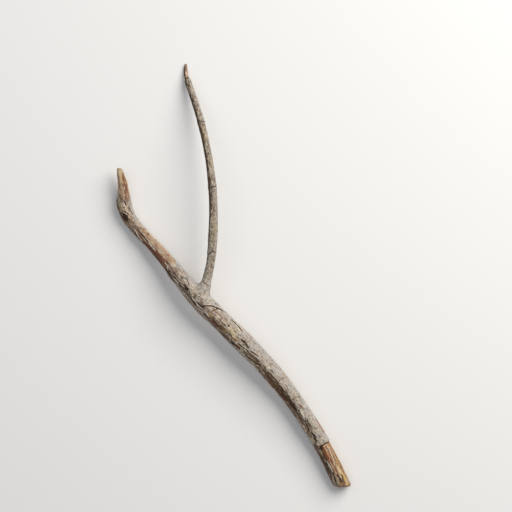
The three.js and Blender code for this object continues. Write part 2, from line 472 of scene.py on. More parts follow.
@dataclass(frozen=True)
class Flecks:
    """Small stains of one tint, scattered at random between two corners of a stretch of skin."""

    tint: Tint
    low: Place
    high: Place
    count: int
    size: float = 2.2
    strength: float = 0.9
    sunk: float = 0.15

    def press(self, skin: Skin, layers: Layers) -> None:
        """Lay every fleck over the layers.

        Args:
            skin: The skin's points.
            layers: Their layers, which are changed.
        """
        maker = np.random.default_rng(self.count + round(self.low[0]))
        for _ in range(self.count):
            at, angle = maker.uniform(self.low, self.high)
            width = self.size * maker.uniform(0.6, 1.5)
            length = width * maker.uniform(1.6, 4.0)
            Stain(self.tint, at, angle, length, 0.85 * width, self.strength, self.sunk).press(skin, layers)


Mark = Trace | Hole | Stain | Flecks


def share_inside(distance: np.ndarray) -> np.ndarray:
    """Turn a distance inside an edge into a share, which rises over a tenth of a millimetre."""
    return np.clip((distance + 0.16) / 0.1, 0, 1)


@dataclass
class Coat:
    """How bark, inner bark and bare wood lie over a limb."""

    marks: tuple[Mark, ...]
    inner_depth: float = 0.62
    wood_depth: float = 1.05
    bark_relief: float = 1.0
    wood_relief: float = 1.0
    weathering: float = 1.0

    # Stands for well inside or well outside, where a coat has no edge.
    FAR = 9.0

    def outer_field(self, skin: Skin) -> np.ndarray:
        """How far inside the whole bark each point is, in millimetres."""
        return np.full(len(skin.at), self.FAR)

    def wood_field(self, skin: Skin) -> np.ndarray:
        """How far inside the bare wood each point is, in millimetres."""
        return np.full(len(skin.at), -self.FAR)

    def wood_share(self, skin: Skin) -> np.ndarray:
        """What share of the bark's thickness the bare wood lies lower."""
        return np.ones(len(skin.at))

    def gap_share(self, skin: Skin) -> np.ndarray:
        """How deep the gap is where bark ends over wood, and how dark its painted shadow."""
        return np.ones(len(skin.at))

    def layers(self, skin: Skin) -> Layers:
        """Cover the skin.

        Args:
            skin: The limb's skin points.

        Returns:
            The height, the layers and the tints of each point.
        """
        outer_field = self.outer_field(skin)
        wood_field = self.wood_field(skin)
        wood = share_inside(wood_field)
        outer = share_inside(outer_field) * (1 - wood)
        inner = (1 - outer) * (1 - wood)
        height = -self.inner_depth * inner - self.wood_depth * self.wood_share(skin) * wood
        layers = Layers(height, outer, wood, {tint: np.zeros(len(skin.at)) for tint in Tint})
        self._edge_bark(skin, layers, outer_field, wood_field)
        self._roughen(skin, layers)
        self._weather(skin, layers, outer_field)
        for mark in self.marks:
            mark.press(skin, layers)
        return layers

    def _edge_bark(
        self, skin: Skin, layers: Layers, outer_field: np.ndarray, wood_field: np.ndarray
    ) -> None:
        """Lift the bark's rims and darken the gap under them.

        Args:
            skin: The limb's skin points.
            layers: Their layers, which are changed.
            outer_field: How far inside the whole bark each point is.
            wood_field: How far inside the bare wood each point is.
        """
        rim = np.exp(-((np.minimum(outer_field, -wood_field) / 0.9) ** 2)) * layers.outer
        patchy = ease_between(-0.5, 0.35, LUMPS.fractal(skin.place / 4.5 + 90, 2))
        layers.height += 0.2 * rim
        layers.tint(Tint.PALE_AND_HIGHLIGHT, 0.5 * rim * patchy)
        gap = np.exp(-(((wood_field - 0.85) / 0.95) ** 2)) * layers.wood * self.gap_share(skin)
        layers.height -= 0.4 * gap
        layers.tint(Tint.CAVITY_SHADE, 0.95 * gap)
        foot = np.exp(-(((outer_field + 0.5) / 0.6) ** 2)) * (1 - layers.outer) * (1 - layers.wood)
        layers.tint(Tint.CAVITY_SHADE, 0.45 * foot * patchy)

    def _weather(self, skin: Skin, layers: Layers, outer_field: np.ndarray) -> None:
        """Scatter ruddy, sooty, pale and honey patches that no single mark explains.

        Args:
            skin: The limb's skin points.
            layers: Their layers, which are changed.
            outer_field: How far inside the whole bark each point is.
        """
        inner = (1 - layers.outer) * (1 - layers.wood) * self.weathering
        wood = layers.wood * self.weathering
        rim = np.exp(-((np.maximum(outer_field, 0) / 5.0) ** 2)) * layers.outer * self.weathering
        broad = LUMPS.fractal(skin.place / 7.0 + 40, 3)
        other = LUMPS.fractal(skin.place / 5.0 - 60, 3)
        streak = FIBRE.fractal(skin.grain_space(5.0) / 2.2 - 12, 3)
        # Where each patch lies, its tint and strength, and the noise values between which it comes up.
        patches = (
            (inner, Tint.RUDDY, 0.55, -0.1, 0.5, broad),
            (inner, Tint.SOOT, 0.8, 0.12, 0.45, other + 0.35 * streak),
            (inner, Tint.HONEY, 0.35, 0.0, 0.5, -broad),
            (inner, Tint.PALE_AND_HIGHLIGHT, 0.7, 0.1, 0.45, streak - 0.2 * other),
            (wood, Tint.RUDDY, 0.65, 0.08, 0.5, streak + 0.4 * broad),
            (wood, Tint.RUST, 0.5, 0.05, 0.5, other),
            (wood, Tint.HONEY, 0.5, 0.1, 0.55, -broad),
            (wood, Tint.PALE_AND_HIGHLIGHT, 0.6, 0.12, 0.5, -streak),
            (wood, Tint.SOOT, 0.7, 0.28, 0.6, streak - 0.3 * other),
            (rim, Tint.RUDDY, 0.35, 0.1, 0.5, other),
            (rim, Tint.SOOT, 0.55, 0.12, 0.5, streak + 0.3 * broad),
            (rim, Tint.PALE_AND_HIGHLIGHT, 0.5, 0.12, 0.5, -streak),
        )
        for where, tint, strength, low, high, noise in patches:
            layers.tint(tint, where * strength * ease_between(low, high, noise))

    def _roughen(self, skin: Skin, layers: Layers) -> None:
        """Add the bark's grit and creases, and the wood's grain and fine splits.

        Args:
            skin: The limb's skin points.
            layers: Their layers, which are changed.
        """
        inner = (1 - layers.outer) * (1 - layers.wood)
        broad = LUMPS.fractal(skin.place / 6.5, 3)
        grit = GRIT.fractal(skin.place / 1.9, 2)
        creases = 1 - np.abs(FIBRE.smooth(skin.grain_space(5.0) / 2.3))
        wrinkles = ease_between(0.8, 1.0, creases) * skin.grainy
        smooth_side = 0.5 + 0.5 * ease_between(15, 70, np.where(skin.angle > 270, 0, skin.angle))
        bark = smooth_side * (0.36 * broad + 0.15 * grit - 0.18 * wrinkles)
        grain = FIBRE.fractal(skin.grain_space(13.0) / 1.3 + 9, 3) * skin.grainy
        splits = ease_between(0.86, 1.0, 1 - np.abs(FIBRE.smooth(skin.grain_space(16.0) / 1.9 + 31)))
        wood = 0.16 * grain - 0.34 * splits * skin.grainy + 0.1 * broad
        torn = 0.2 * broad + 0.22 * FIBRE.fractal(skin.grain_space(6.0) / 1.6, 3) * skin.grainy + 0.1 * grit
        layers.height += self.bark_relief * (layers.outer * bark + inner * torn)
        layers.height += self.wood_relief * layers.wood * wood
        layers.tint(Tint.CAVITY_SHADE, 0.5 * wrinkles * layers.outer + 0.55 * splits * skin.grainy * layers.wood)


def by_distance(skin: Skin, edge: tuple[Place, ...]) -> np.ndarray:
    """Read an edge, given as (distance, angle) places, at each point's distance."""
    at, angle = np.array(edge).T
    return np.interp(skin.at, at, angle)


def by_angle(skin: Skin, edge: tuple[Place, ...]) -> np.ndarray:
    """Read an edge, given as (angle, distance) places, at each point's angle."""
    angle, at = np.array(edge).T
    return np.interp(skin.angle, angle, at, period=360)


@dataclass
class LeaderCoat(Coat):
    """The leader's bark: flaked off its left flank, and gone from the butt, a strip and the stub."""

    # The left-hand edge of the whole bark, as (distance, angle).
    left_edge: tuple[Place, ...] = (
        (0, 118), (61, 118), (73, 107), (85, 98), (99, 90), (109, 100), (119, 115), (127, 108), (135, 96),
        (140, 101), (148, 97), (158, 100), (167, 94), (175, 100), (183, 91), (189, 103), (196, 101),
        (203, 98), (208, 107), (215, 112), (224, 121), (230, 138), (237, 108), (245, 92), (251, 88),
        (257, 92), (264, 102), (271, 112), (280, 122), (289, 116), (300, 114), (310, 118), (318, 116),
        (326, 124), (335, 136), (347, 128), (356, 132), (398, 140), (406, 140), (424, 124), (432, 112),
        (446, 134), (462, 150),
    )
    # The angle where the bark comes back underneath.
    under_edge: float = 292
    # Where the bark comes back on the far left flank, as (distance, angle), and the angle where that ends.
    far_edge: tuple[Place, ...] = (
        (55, 190), (66, 142), (100, 140), (116, 186), (168, 184), (184, 156), (205, 140), (226, 146),
        (240, 168), (262, 166), (284, 136), (306, 131), (330, 134), (346, 190),
    )
    far_end: float = 224
    # The bark's edge round the bare butt, as (angle, distance), and along its flank, as (distance, angle).
    butt_edge: tuple[Place, ...] = ((11, 59.3), (61, 60), (93, 59.8), (118, 60), (180, 61), (270, 58))
    butt_flank: tuple[Place, ...] = ((0, 138), (9.5, 131), (16, 124), (28, 117), (38, 120), (60, 119))
    # The angle past which the butt is bare again underneath.
    butt_flank_end: float = 205
    # The ends of the bare strip, as (angle, distance), and the angles of its sides.
    strip_start: tuple[Place, ...] = (
        (19, 349), (51, 353), (82, 356), (111, 358), (136, 351), (180, 348), (300, 352),
    )
    strip_end: tuple[Place, ...] = (
        (0, 409), (30, 408), (50, 411), (66, 415), (80, 418), (108, 416), (128, 408), (147, 400),
        (180, 396), (300, 410),
    )
    strip_sides: Place = (212, 335)
    # Where the bare stub starts, as (angle, distance).
    stub_start: tuple[Place, ...] = ((4, 460.5), (75, 459), (109, 463), (135, 467), (180, 469), (270, 464))
    # Any bare wood before the first distance is the butt, and any past the second is the stub.
    zones: Place = (200, 440)

    def outer_field(self, skin: Skin) -> np.ndarray:
        """Lay whole bark right of the left-hand edge, underneath, on the far flank and in islands.

        Args:
            skin: The leader's skin points.

        Returns:
            How far inside the whole bark each point is.
        """
        ragged = 1.5 * RAGGED.fractal(skin.place / 6.0, 3) + 0.5 * RAGGED.smooth(skin.place / 1.7)
        from_right = np.where(skin.angle > 300, skin.angle - 360, skin.angle)
        left = np.radians(by_distance(skin, self.left_edge) - from_right)
        under = np.radians(turned(skin.angle, self.under_edge + 14 * np.sin(skin.at / 21)))
        under = np.where(skin.angle > 180, under, -self.FAR)
        islands = 6 * (LUMPS.fractal(skin.grain_space(1.8) / 6.5 + 70, 3) - 0.4) + 0.5 * ragged
        far = np.radians(np.minimum(skin.angle - by_distance(skin, self.far_edge), self.far_end - skin.angle))
        fields = [left * skin.reach + ragged, under * skin.reach + ragged, far * skin.reach + 0.8 * ragged]
        whole = np.maximum(np.maximum.reduce(fields), islands)
        holes = 5.5 * (LUMPS.fractal(skin.place / 5.0 + 20, 2) - 0.62)
        return np.minimum(whole, -holes)

    def wood_field(self, skin: Skin) -> np.ndarray:
        """Bare the wood at the butt, in the strip and on the stub.

        Args:
            skin: The leader's skin points.

        Returns:
            How far inside the bare wood each point is.
        """
        ragged = 0.7 * RAGGED.fractal(skin.place / 4.0 + 7, 2)
        fingers = 9.0 * FIBRE.fractal(skin.grain_space(4.0) / 3.0 + 3, 3)
        flank = np.radians(by_distance(skin, self.butt_flank) - skin.angle) * skin.reach
        past_flank = np.radians(skin.angle - self.butt_flank_end) * skin.reach
        covered = np.maximum(flank, past_flank)
        butt = np.minimum(by_angle(skin, self.butt_edge) + 0.6 * ragged - skin.at, covered + ragged)
        low, high = self.strip_sides
        middle = (low + high - 360) / 2
        beside = np.radians((low - high + 360) / 2 - np.abs(turned(skin.angle, middle))) * skin.reach
        from_start = skin.at - by_angle(skin, self.strip_start)
        from_end = by_angle(skin, self.strip_end) - skin.at
        strip = np.minimum(np.minimum(from_start, from_end) + fingers, beside + 2 * ragged)
        stub = skin.at - by_angle(skin, self.stub_start) + 0.7 * fingers
        return np.maximum(np.maximum(butt, strip), stub)

    def wood_share(self, skin: Skin) -> np.ndarray:
        """The butt swells towards its end, and the stub has lost less."""
        butt = 0.4 + 0.6 * np.clip(skin.at / 60, 0, 1)
        return np.where(skin.at < self.zones[0], butt, np.where(skin.at > self.zones[1], 0.4, 0.7))

    def gap_share(self, skin: Skin) -> np.ndarray:
        """Only the butt's bark ends in a clean cut; elsewhere it is torn thin."""
        return np.where(skin.at < self.zones[0], 1.0, 0.3)


@dataclass
class TwigCoat(Coat):
    """The twig's thin bark, whole up to its bare tip."""

    # Where the bark ends, as (angle, distance).
    bark_end: tuple[Place, ...] = ((0, 288.5), (73, 286), (101, 285.5), (156, 285.8), (270, 286))
    # The scuffed flank's edge and its middle, and the stretch over which whole bark gives way to it.
    flank_angle: float = 108
    flank_middle: float = 190
    flank_start: Place = (30, 120)

    def outer_field(self, skin: Skin) -> np.ndarray:
        """Scuff the bark to its darker layer on the left flank.

        Args:
            skin: The twig's skin points.

        Returns:
            How far inside the whole bark each point is.
        """
        ragged = 1.9 * RAGGED.fractal(skin.place / 7.0, 4)
        from_middle = np.abs(turned(skin.angle, self.flank_middle))
        flank = np.radians(from_middle - (self.flank_middle - self.flank_angle)) * skin.reach
        scuffs = 4 * (LUMPS.fractal(skin.grain_space(2.0) / 2.6 + 33, 3) - 0.36)
        low, high = self.flank_start
        covered = 16 * ease_between(high, low, skin.at)
        return np.minimum(flank + ragged + covered, -scuffs)

    def wood_field(self, skin: Skin) -> np.ndarray:
        """Only the tip is bare."""
        return skin.at - by_angle(skin, self.bark_end) + 0.8 * RAGGED.smooth(skin.place / 1.5)


@dataclass
class Fork:
    """Where the twig grows out of the leader: one smooth skin over both."""

    leader: Limb
    twig: Limb
    blend: float = 5.0
    # Where either skin is searched for, and where the joined one takes the place of the limb's own.
    leader_span: Place = (262, 350)
    twig_span: Place = (0, 60)
    leader_joined: Place = (270, 342)
    twig_joined: float = 40
    collar_foot: float = 13
    collar_reach: float = 6.7
    collar_least: float = 1.1
    collar_most: float = 3.8
    # The knot of swirled grain: its middle, and how far from it the grain starts and is straight.
    knot: tuple[float, float, float] = (-37.0, -16.0, 27.0)
    knot_reach: Place = (14, 24)

    SEARCH_ROUNDS = 13

    def flare(self, at: np.ndarray, angle: np.ndarray) -> np.ndarray:
        """Swell the twig into its collar.

        Args:
            at: Distances along the twig.
            angle: The angle round the twig for each distance.

        Returns:
            How far the collar stands out from the twig's own skin.
        """
        above = np.maximum(at - self.collar_foot, 0) / self.collar_reach
        leftward = (1 - np.cos(np.radians(angle))) / 2
        swell = self.collar_least + (self.collar_most - self.collar_least) * leftward
        return swell * np.exp(-(above**2))

    def beyond(self, places: np.ndarray) -> tuple[np.ndarray, np.ndarray]:
        """Measure out from both limbs' skins.

        Args:
            places: Points in space.

        Returns:
            Their distance outside the leader's own skin, and outside the twig's.
        """
        at, angle, away = self.leader.nearest(places, *self.leader_span)
        from_leader = away - self.leader.reach(at, angle)
        at, angle, away = self.twig.nearest(places, *self.twig_span)
        away = np.hypot(away, np.minimum(at, 0))
        from_twig = away - self.twig.reach(at, angle) - self.flare(at, angle)
        return from_leader, from_twig

    def grown(self, centre: np.ndarray, outward: np.ndarray, own: np.ndarray, on_leader: bool) -> np.ndarray:
        """Find how far the joined skin reaches along rays from one limb's centre line.

        Args:
            centre: Where each ray starts.
            outward: Each ray's direction.
            own: How far the limb's own skin reaches along it.
            on_leader: True for rays from the leader, false for rays from the twig.

        Returns:
            The joined skin's reach, sunk a little where the other limb's skin takes over.
        """
        low = own - 0.5
        high = own + 0.28 * self.blend
        ceiling = high.copy()
        for _ in range(self.SEARCH_ROUNDS):
            middle = (low + high) / 2
            from_leader, from_twig = self.beyond(centre + outward * middle[:, None])
            mix = np.maximum(self.blend - np.abs(from_leader - from_twig), 0) / self.blend
            outside = np.minimum(from_leader, from_twig) - mix**2 * self.blend / 4 > 0
            high = np.where(outside, middle, high)
            low = np.where(outside, low, middle)
        reach = np.minimum(high, ceiling)
        from_leader, from_twig = self.beyond(centre + outward * reach[:, None])
        ahead = from_leader - from_twig if on_leader else from_twig - from_leader
        return reach - 0.55 * np.clip(ahead, 0, 3)


@dataclass
class Ring:
    """One ring of a skin: its distance along the limb, and what share of the full reach it has."""

    at: float
    share: float = 1.0


def slope_around(values: np.ndarray, turn: float = 0.0) -> np.ndarray:
    """Slope of a value from side to side round each ring, where turn is what one whole turn adds to it."""
    wrapped = np.concatenate([values[:, -1:] - turn, values, values[:, :1] + turn], axis=1)
    return np.gradient(wrapped, axis=1)[:, 1:-1]


@dataclass
class SkinGrid:
    """A closed skin made of rings round a limb."""

    limb: Limb
    coat: Coat
    rings: list[Ring]
    sides: int
    fork: Fork
    # The flat cut between two pieces, where no point is moved along.
    cut: float
    slant: float = 0.0
    slant_length: float = 24.0
    tip_slant: float = 0.0
    tip_slant_length: float = 9.0
    top_heavy: float = 0.2
    ring_width: float = 0.9
    # Drying checks in the end face, each as its angle and how far it runs from the middle.
    checks: tuple[Place, ...] = ()

    SNAP_SHARE = 0.52
    CUT_MARGIN = 0.9
    SNAPPED_WIDTH = 1.6

    def __post_init__(self) -> None:
        """Lay the rings out evenly, a little closer together round the top than underneath."""
        turn = 2 * np.pi * np.arange(self.sides) / self.sides
        angle = np.degrees(turn + self.top_heavy * np.cos(turn)) % 360
        self.at = np.repeat(np.array([ring.at for ring in self.rings])[:, None], self.sides, axis=1)
        self.angle = np.repeat(angle[None], len(self.rings), axis=0)
        self.share = np.repeat(np.array([ring.share for ring in self.rings])[:, None], self.sides, axis=1)

    def _skin(self) -> Skin:
        """Put the rings' points on the plain skin.

        Returns:
            The points, with the fork's joined skin where the other limb is near.
        """
        at, angle = self.at.ravel(), self.angle.ravel() % 360
        cut = self.limb.sections(at)
        turn = np.radians(angle)[:, None]
        outward = cut.side * np.cos(turn) + cut.top * np.sin(turn)
        reach = self.limb.reach(at, angle)
        on_leader = self.limb is self.fork.leader
        if on_leader:
            low, high = self.fork.leader_joined
            joined = (at > low) & (at < high)
        else:
            reach = reach + self.fork.flare(at, angle)
            joined = at < self.fork.twig_joined
        reach[joined] = self.fork.grown(cut.centre[joined], outward[joined], reach[joined], on_leader)
        self.outward = outward
        self.along = cut.along
        self.centre = cut.centre
        place = cut.centre + outward * reach[:, None]
        grainy = ease_between(*self.fork.knot_reach, np.linalg.norm(place - self.fork.knot, axis=1))
        return Skin(at, angle, reach, place, grainy)

    def _edge_moves(self, skin: Skin) -> Iterator[Move]:
        """Find the way to each edge of the bark and each hole's rim.

        Args:
            skin: The points on the plain skin.

        Yields:
            For one edge after another, the distance to it and the move that would cover it.
        """
        shape = self.at.shape
        fields = [self.coat.outer_field(skin), self.coat.wood_field(skin)]
        fields += [mark.beyond(skin) for mark in self.coat.marks if isinstance(mark, Hole)]
        step_at = np.gradient(self.at, axis=0) + 1e-6
        unwound = np.unwrap(np.radians(self.angle), axis=1)
        step_arc = slope_around(unwound, 2 * np.pi) * skin.reach.reshape(shape)
        for values in fields:
            grid = values.reshape(shape)
            slope_at = np.gradient(grid, axis=0) / step_at
            slope_arc = slope_around(grid) / step_arc
            steep = slope_at**2 + slope_arc**2 + 1e-9
            yield np.abs(grid) / np.sqrt(steep), -grid * slope_at / steep, -grid * slope_arc / steep

    def _crack_moves(self, skin: Skin) -> Iterator[Move]:
        """Find the way to each narrow crack or ridge.

        Args:
            skin: The points on the plain skin.

        Yields:
            For one trace after another, the distance to it and the move that would cover it.
        """
        for mark in self.coat.marks:
            if isinstance(mark, Trace) and mark.width < self.SNAPPED_WIDTH:
                yield tuple(values.reshape(self.at.shape) for values in mark.offset(skin))

    def _snap(self, skin: Skin) -> None:
        """Move the points beside an edge, a hole's rim or a crack onto it, so that it comes out crisp.

        Args:
            skin: The points on the plain skin.
        """
        shape = self.at.shape
        cell = float(np.median(np.diff(self.at[:, 0])))
        best = np.full(shape, self.SNAP_SHARE * cell)
        move_at = np.zeros(shape)
        move_arc = np.zeros(shape)
        for away, to_at, to_arc in itertools.chain(self._edge_moves(skin), self._crack_moves(skin)):
            chosen = away < best
            best = np.where(chosen, away, best)
            move_at = np.where(chosen, to_at, move_at)
            move_arc = np.where(chosen, to_arc, move_arc)
        free = (self.share == 1) & (np.abs(self.at - self.cut) > self.CUT_MARGIN)
        self.at = self.at + move_at * free
        self.angle = self.angle + np.degrees(move_arc / skin.reach.reshape(shape)) * free

    def mesh(self, name: str) -> bpy.types.Object:
        """Make the closed mesh, with what it is made of and its tints on its points.

        Args:
            name: The new object's name.

        Returns:
            The new object, in metres.
        """
        self._snap(self._skin())
        skin = self._skin()
        layers = self.coat.layers(skin)
        reach = (skin.reach + layers.height) * self.share.ravel()
        sunk = self._end_grain(skin, layers, reach)
        lean = self.slant * (1 - ease_between(0, self.slant_length, skin.at))
        tip = self.limb.length - self.tip_slant_length
        lean = lean + self.tip_slant * ease_between(tip, self.limb.length, skin.at)
        shift = lean * reach * np.cos(np.radians(skin.angle))
        inward = np.where(skin.at < self.limb.length / 2, sunk, -sunk)
        points = self.centre + self.outward * reach[:, None] + self.along * (shift + inward)[:, None]
        points[:, 2] = np.maximum(points[:, 2], 0)
        made = closed_mesh(name, points.reshape(len(self.rings), self.sides, 3))
        paint(made, replace(skin, reach=reach), layers)
        return made

    def _end_grain(self, skin: Skin, layers: Layers, radius: np.ndarray) -> np.ndarray:
        """Show growth rings and drying checks on the ends.

        Args:
            skin: The skin's points.
            layers: Their layers, which become wood on the ends.
            radius: Each point's distance from the centre line.

        Returns:
            How far each point is sunk into the end.
        """
        face = ease_between(0.97, 0.86, self.share.ravel())
        layers.wood = np.maximum(layers.wood, face)
        layers.outer = layers.outer * (1 - face)
        wobble = 0.9 * RAGGED.smooth(skin.place / 5)
        rings = 0.5 + 0.5 * np.sin(2 * np.pi * (radius + wobble) / self.ring_width)
        checks = np.zeros(len(radius))
        for angle, reach in self.checks:
            turn = np.radians(turned(skin.angle, angle)) + 0.12 * np.sin(radius * 1.3 + angle)
            ahead = radius * np.cos(turn) > -0.2
            away = np.abs(radius * np.sin(turn)) / 0.34
            check = np.exp(-(away**2)) * ahead * ease_between(reach, reach * 0.6, radius)
            checks = np.maximum(checks, check)
        for tint in (Tint.PALE_AND_HIGHLIGHT, Tint.HONEY):
            layers.tints[tint] = layers.tints[tint] * (1 - face)
        layers.tint(Tint.RUDDY, 0.55 * face * rings)
        layers.tint(Tint.SOOT, 0.45 * face * ease_between(0.0, 0.5, LUMPS.fractal(skin.place / 4.5 + 7, 2)))
        layers.tint(Tint.CAVITY_SHADE, face * checks)
        return face * (0.12 * rings + 0.7 * checks + 0.25 * GRIT.smooth(skin.place / 2.2) + 0.2)


def closed_mesh(name: str, rings: np.ndarray) -> bpy.types.Object:
    """Join rings of points into a closed mesh.

    Args:
        name: The new object's name.
        rings: Points in millimetres, by ring and by side.

    Returns:
        The new object, in metres, each end closed by a fan.
    """
    count, sides, _ = rings.shape
    side = np.arange(sides)
    after = (side + 1) % sides
    starts = (np.arange(count - 1) * sides)[:, None]
    quads = np.stack([starts + side, starts + sides + side, starts + sides + after, starts + after], axis=-1)
    first, last = count * sides, count * sides + 1
    top = (count - 1) * sides
    foot_fan = np.stack([np.full(sides, first), side, after], axis=-1)
    head_fan = np.stack([np.full(sides, last), top + after, top + side], axis=-1)
    points = np.vstack([rings.reshape(-1, 3), rings[0].mean(axis=0), rings[-1].mean(axis=0)]) * METRES
    faces = [*quads.reshape(-1, 4).tolist(), *foot_fan.tolist(), *head_fan.tolist()]
    mesh = bpy.data.meshes.new(name)
    mesh.from_pydata(points.tolist(), [], faces)
    mesh.polygons.foreach_set("use_smooth", np.ones(len(mesh.polygons), dtype=bool))
    made = bpy.data.objects.new(name, mesh)
    bpy.context.scene.collection.objects.link(made)
    return made


# What a mesh's points store for the materials: each attribute's kind, its key and how many numbers it holds.
PAINTED = {
    "coat": ("FLOAT_COLOR", "color", 4),
    "tints": ("FLOAT_COLOR", "color", 4),
    "grain": ("FLOAT_VECTOR", "vector", 3),
}
COAT_TINTS = (Tint.CAVITY_SHADE, Tint.PALE_AND_HIGHLIGHT)
LAID_TINTS = (Tint.RUST, Tint.RUDDY, Tint.SOOT, Tint.HONEY)


def store(mesh: bpy.types.Mesh, name: str, values: np.ndarray) -> None:
    """Store an attribute on a mesh's points."""
    kind, key, _ = PAINTED[name]
    mesh.attributes.new(name, kind, "POINT").data.foreach_set(key, values.astype(np.float32).ravel())


def paint(made: bpy.types.Object, skin: Skin, layers: Layers) -> None:
    """Store on a mesh's points what its materials read.

    Args:
        made: The object, whose points are the skin's and then the two ends' centres.
        skin: The skin's points.
        layers: The skin's layers.
    """
    coat = [layers.outer, layers.wood, *(layers.tints[tint] for tint in COAT_TINTS)]
    laid = [layers.tints[tint] for tint in LAID_TINTS]
    ends = [0, len(skin.at) - 1]
    columns = (np.stack(coat, axis=-1), np.stack(laid, axis=-1), skin.grain_space(1.0))
    for name, values in zip(PAINTED, columns):
        store(made.data, name, np.vstack([values, values[ends]]))


def repaint(mesh: bpy.types.Mesh, sources: list[bpy.types.Mesh]) -> None:
    """Copy to each point what the nearest point of the source meshes stores.

    Args:
        mesh: The mesh to repaint.
        sources: Meshes in the same place, which hold the values.
    """
    tree = KDTree(sum(len(source.vertices) for source in sources))
    for number, vertex in enumerate(itertools.chain.from_iterable(source.vertices for source in sources)):
        tree.insert(vertex.co, number)
    tree.balance()
    nearest = np.array([tree.find(vertex.co)[1] for vertex in mesh.vertices])
    for name, (_, key, width) in PAINTED.items():
        values = []
        for source in sources:
            part = np.empty(len(source.vertices) * width, dtype=np.float32)
            source.attributes[name].data.foreach_get(key, part)
            values.append(part.reshape(-1, width))
        if name in mesh.attributes:
            mesh.attributes.remove(mesh.attributes[name])
        store(mesh, name, np.vstack(values)[nearest])


def even_rings(start: float, end: float, spacing: float) -> list[Ring]:
    """Whole rings from start to end, about spacing apart."""
    return [Ring(float(at)) for at in np.linspace(start, end, round((end - start) / spacing) + 1)]


def round_end(limb: Limb, length: float, spacing: float, from_start: bool) -> list[Ring]:
    """Close a limb with a flat face and a rounded edge.

    Args:
        limb: The limb.
        length: How far the rounding runs along it.
        spacing: The distance between rings.
        from_start: True for the limb's first end, false for its last.

    Returns:
        The rings, in the order that the limb has them.
    """
    tip, inward, station = (0.0, 1, limb.stations[0]) if from_start else (limb.length, -1, limb.stations[-1])
    flat = 1 - length / station.radius
    rings = [Ring(tip, float(share)) for share in np.arange(0.04, flat, spacing / station.radius)]
    for turn in np.linspace(0, np.pi / 2, max(4, round(length * 1.6 / spacing)), endpoint=False):
        at = tip + inward * length * (1 - math.cos(turn))
        rings.append(Ring(at, flat + (1 - flat) * math.sin(turn)))
    return rings if from_start else rings[::-1]


@dataclass(frozen=True)
class Sliver:
    """A loose sliver of bark that lifts off the skin between its ends."""

    path: tuple[Place, ...]
    width: float
    lift: float
    thickness: float = 0.7
    steps: int = 28
    sides: int = 10

    def rings(self, limb: Limb, seed: int) -> np.ndarray:
        """Lay the sliver's cross-sections along its path.

        Args:
            limb: The limb it clings to.
            seed: Picks how its edges wander.

        Returns:
            Points by ring and by side, in millimetres.
        """
        share = np.linspace(0, 1, self.steps)
        knots = np.linspace(0, 1, len(self.path))
        at = np.interp(share, knots, [place[0] for place in self.path])
        angle = np.interp(share, knots, [place[1] for place in self.path])
        cut = limb.sections(at)
        turn = np.radians(angle)[:, None]
        outward = cut.side * np.cos(turn) + cut.top * np.sin(turn)
        bulge = np.sin(np.pi * share)
        reach = limb.reach(at, angle) - 0.35 + self.lift * bulge**0.8
        middle = cut.centre + outward * reach[:, None]
        ahead = np.gradient(middle, axis=0)
        ahead /= np.linalg.norm(ahead, axis=1, keepdims=True)
        across = np.cross(outward, ahead)
        across /= np.linalg.norm(across, axis=1, keepdims=True)
        wander = 1 + 0.55 * RAGGED.smooth(np.stack([share * 7, share * 0 + seed, share * 0], axis=-1))
        width = self.width * (0.15 + 0.85 * bulge**0.6) * wander
        around = 2 * np.pi * np.arange(self.sides) / self.sides
        flat = np.sign(np.cos(around)) * np.abs(np.cos(around)) ** 0.7
        cup = -0.18 * self.width * flat**2
        high = np.sin(around) * self.thickness / 2
        return (
            middle[:, None]
            + across[:, None] * (flat[None] * width[:, None] / 2)[..., None]
            + outward[:, None] * (cup + high * (0.5 + 0.5 * bulge[:, None]))[..., None]
        )


Colour = tuple[float, float, float, float]
Inputs = dict[str | int, object]


def paint_of(code: str) -> Colour:
    """Turn a colour as seen on a screen, such as "b9ab97", into the linear one that a shader takes.

    Args:
        code: Red, green and blue, two hexadecimal digits each.

    Returns:
        Linear red, green and blue from 0 to 1, and an opacity of 1.
    """
    seen = [int(code[i : i + 2], 16) / 255 for i in (0, 2, 4)]
    linear = [c / 12.92 if c <= 0.04045 else ((c + 0.055) / 1.055) ** 2.4 for c in seen]
    return (*linear, 1.0)


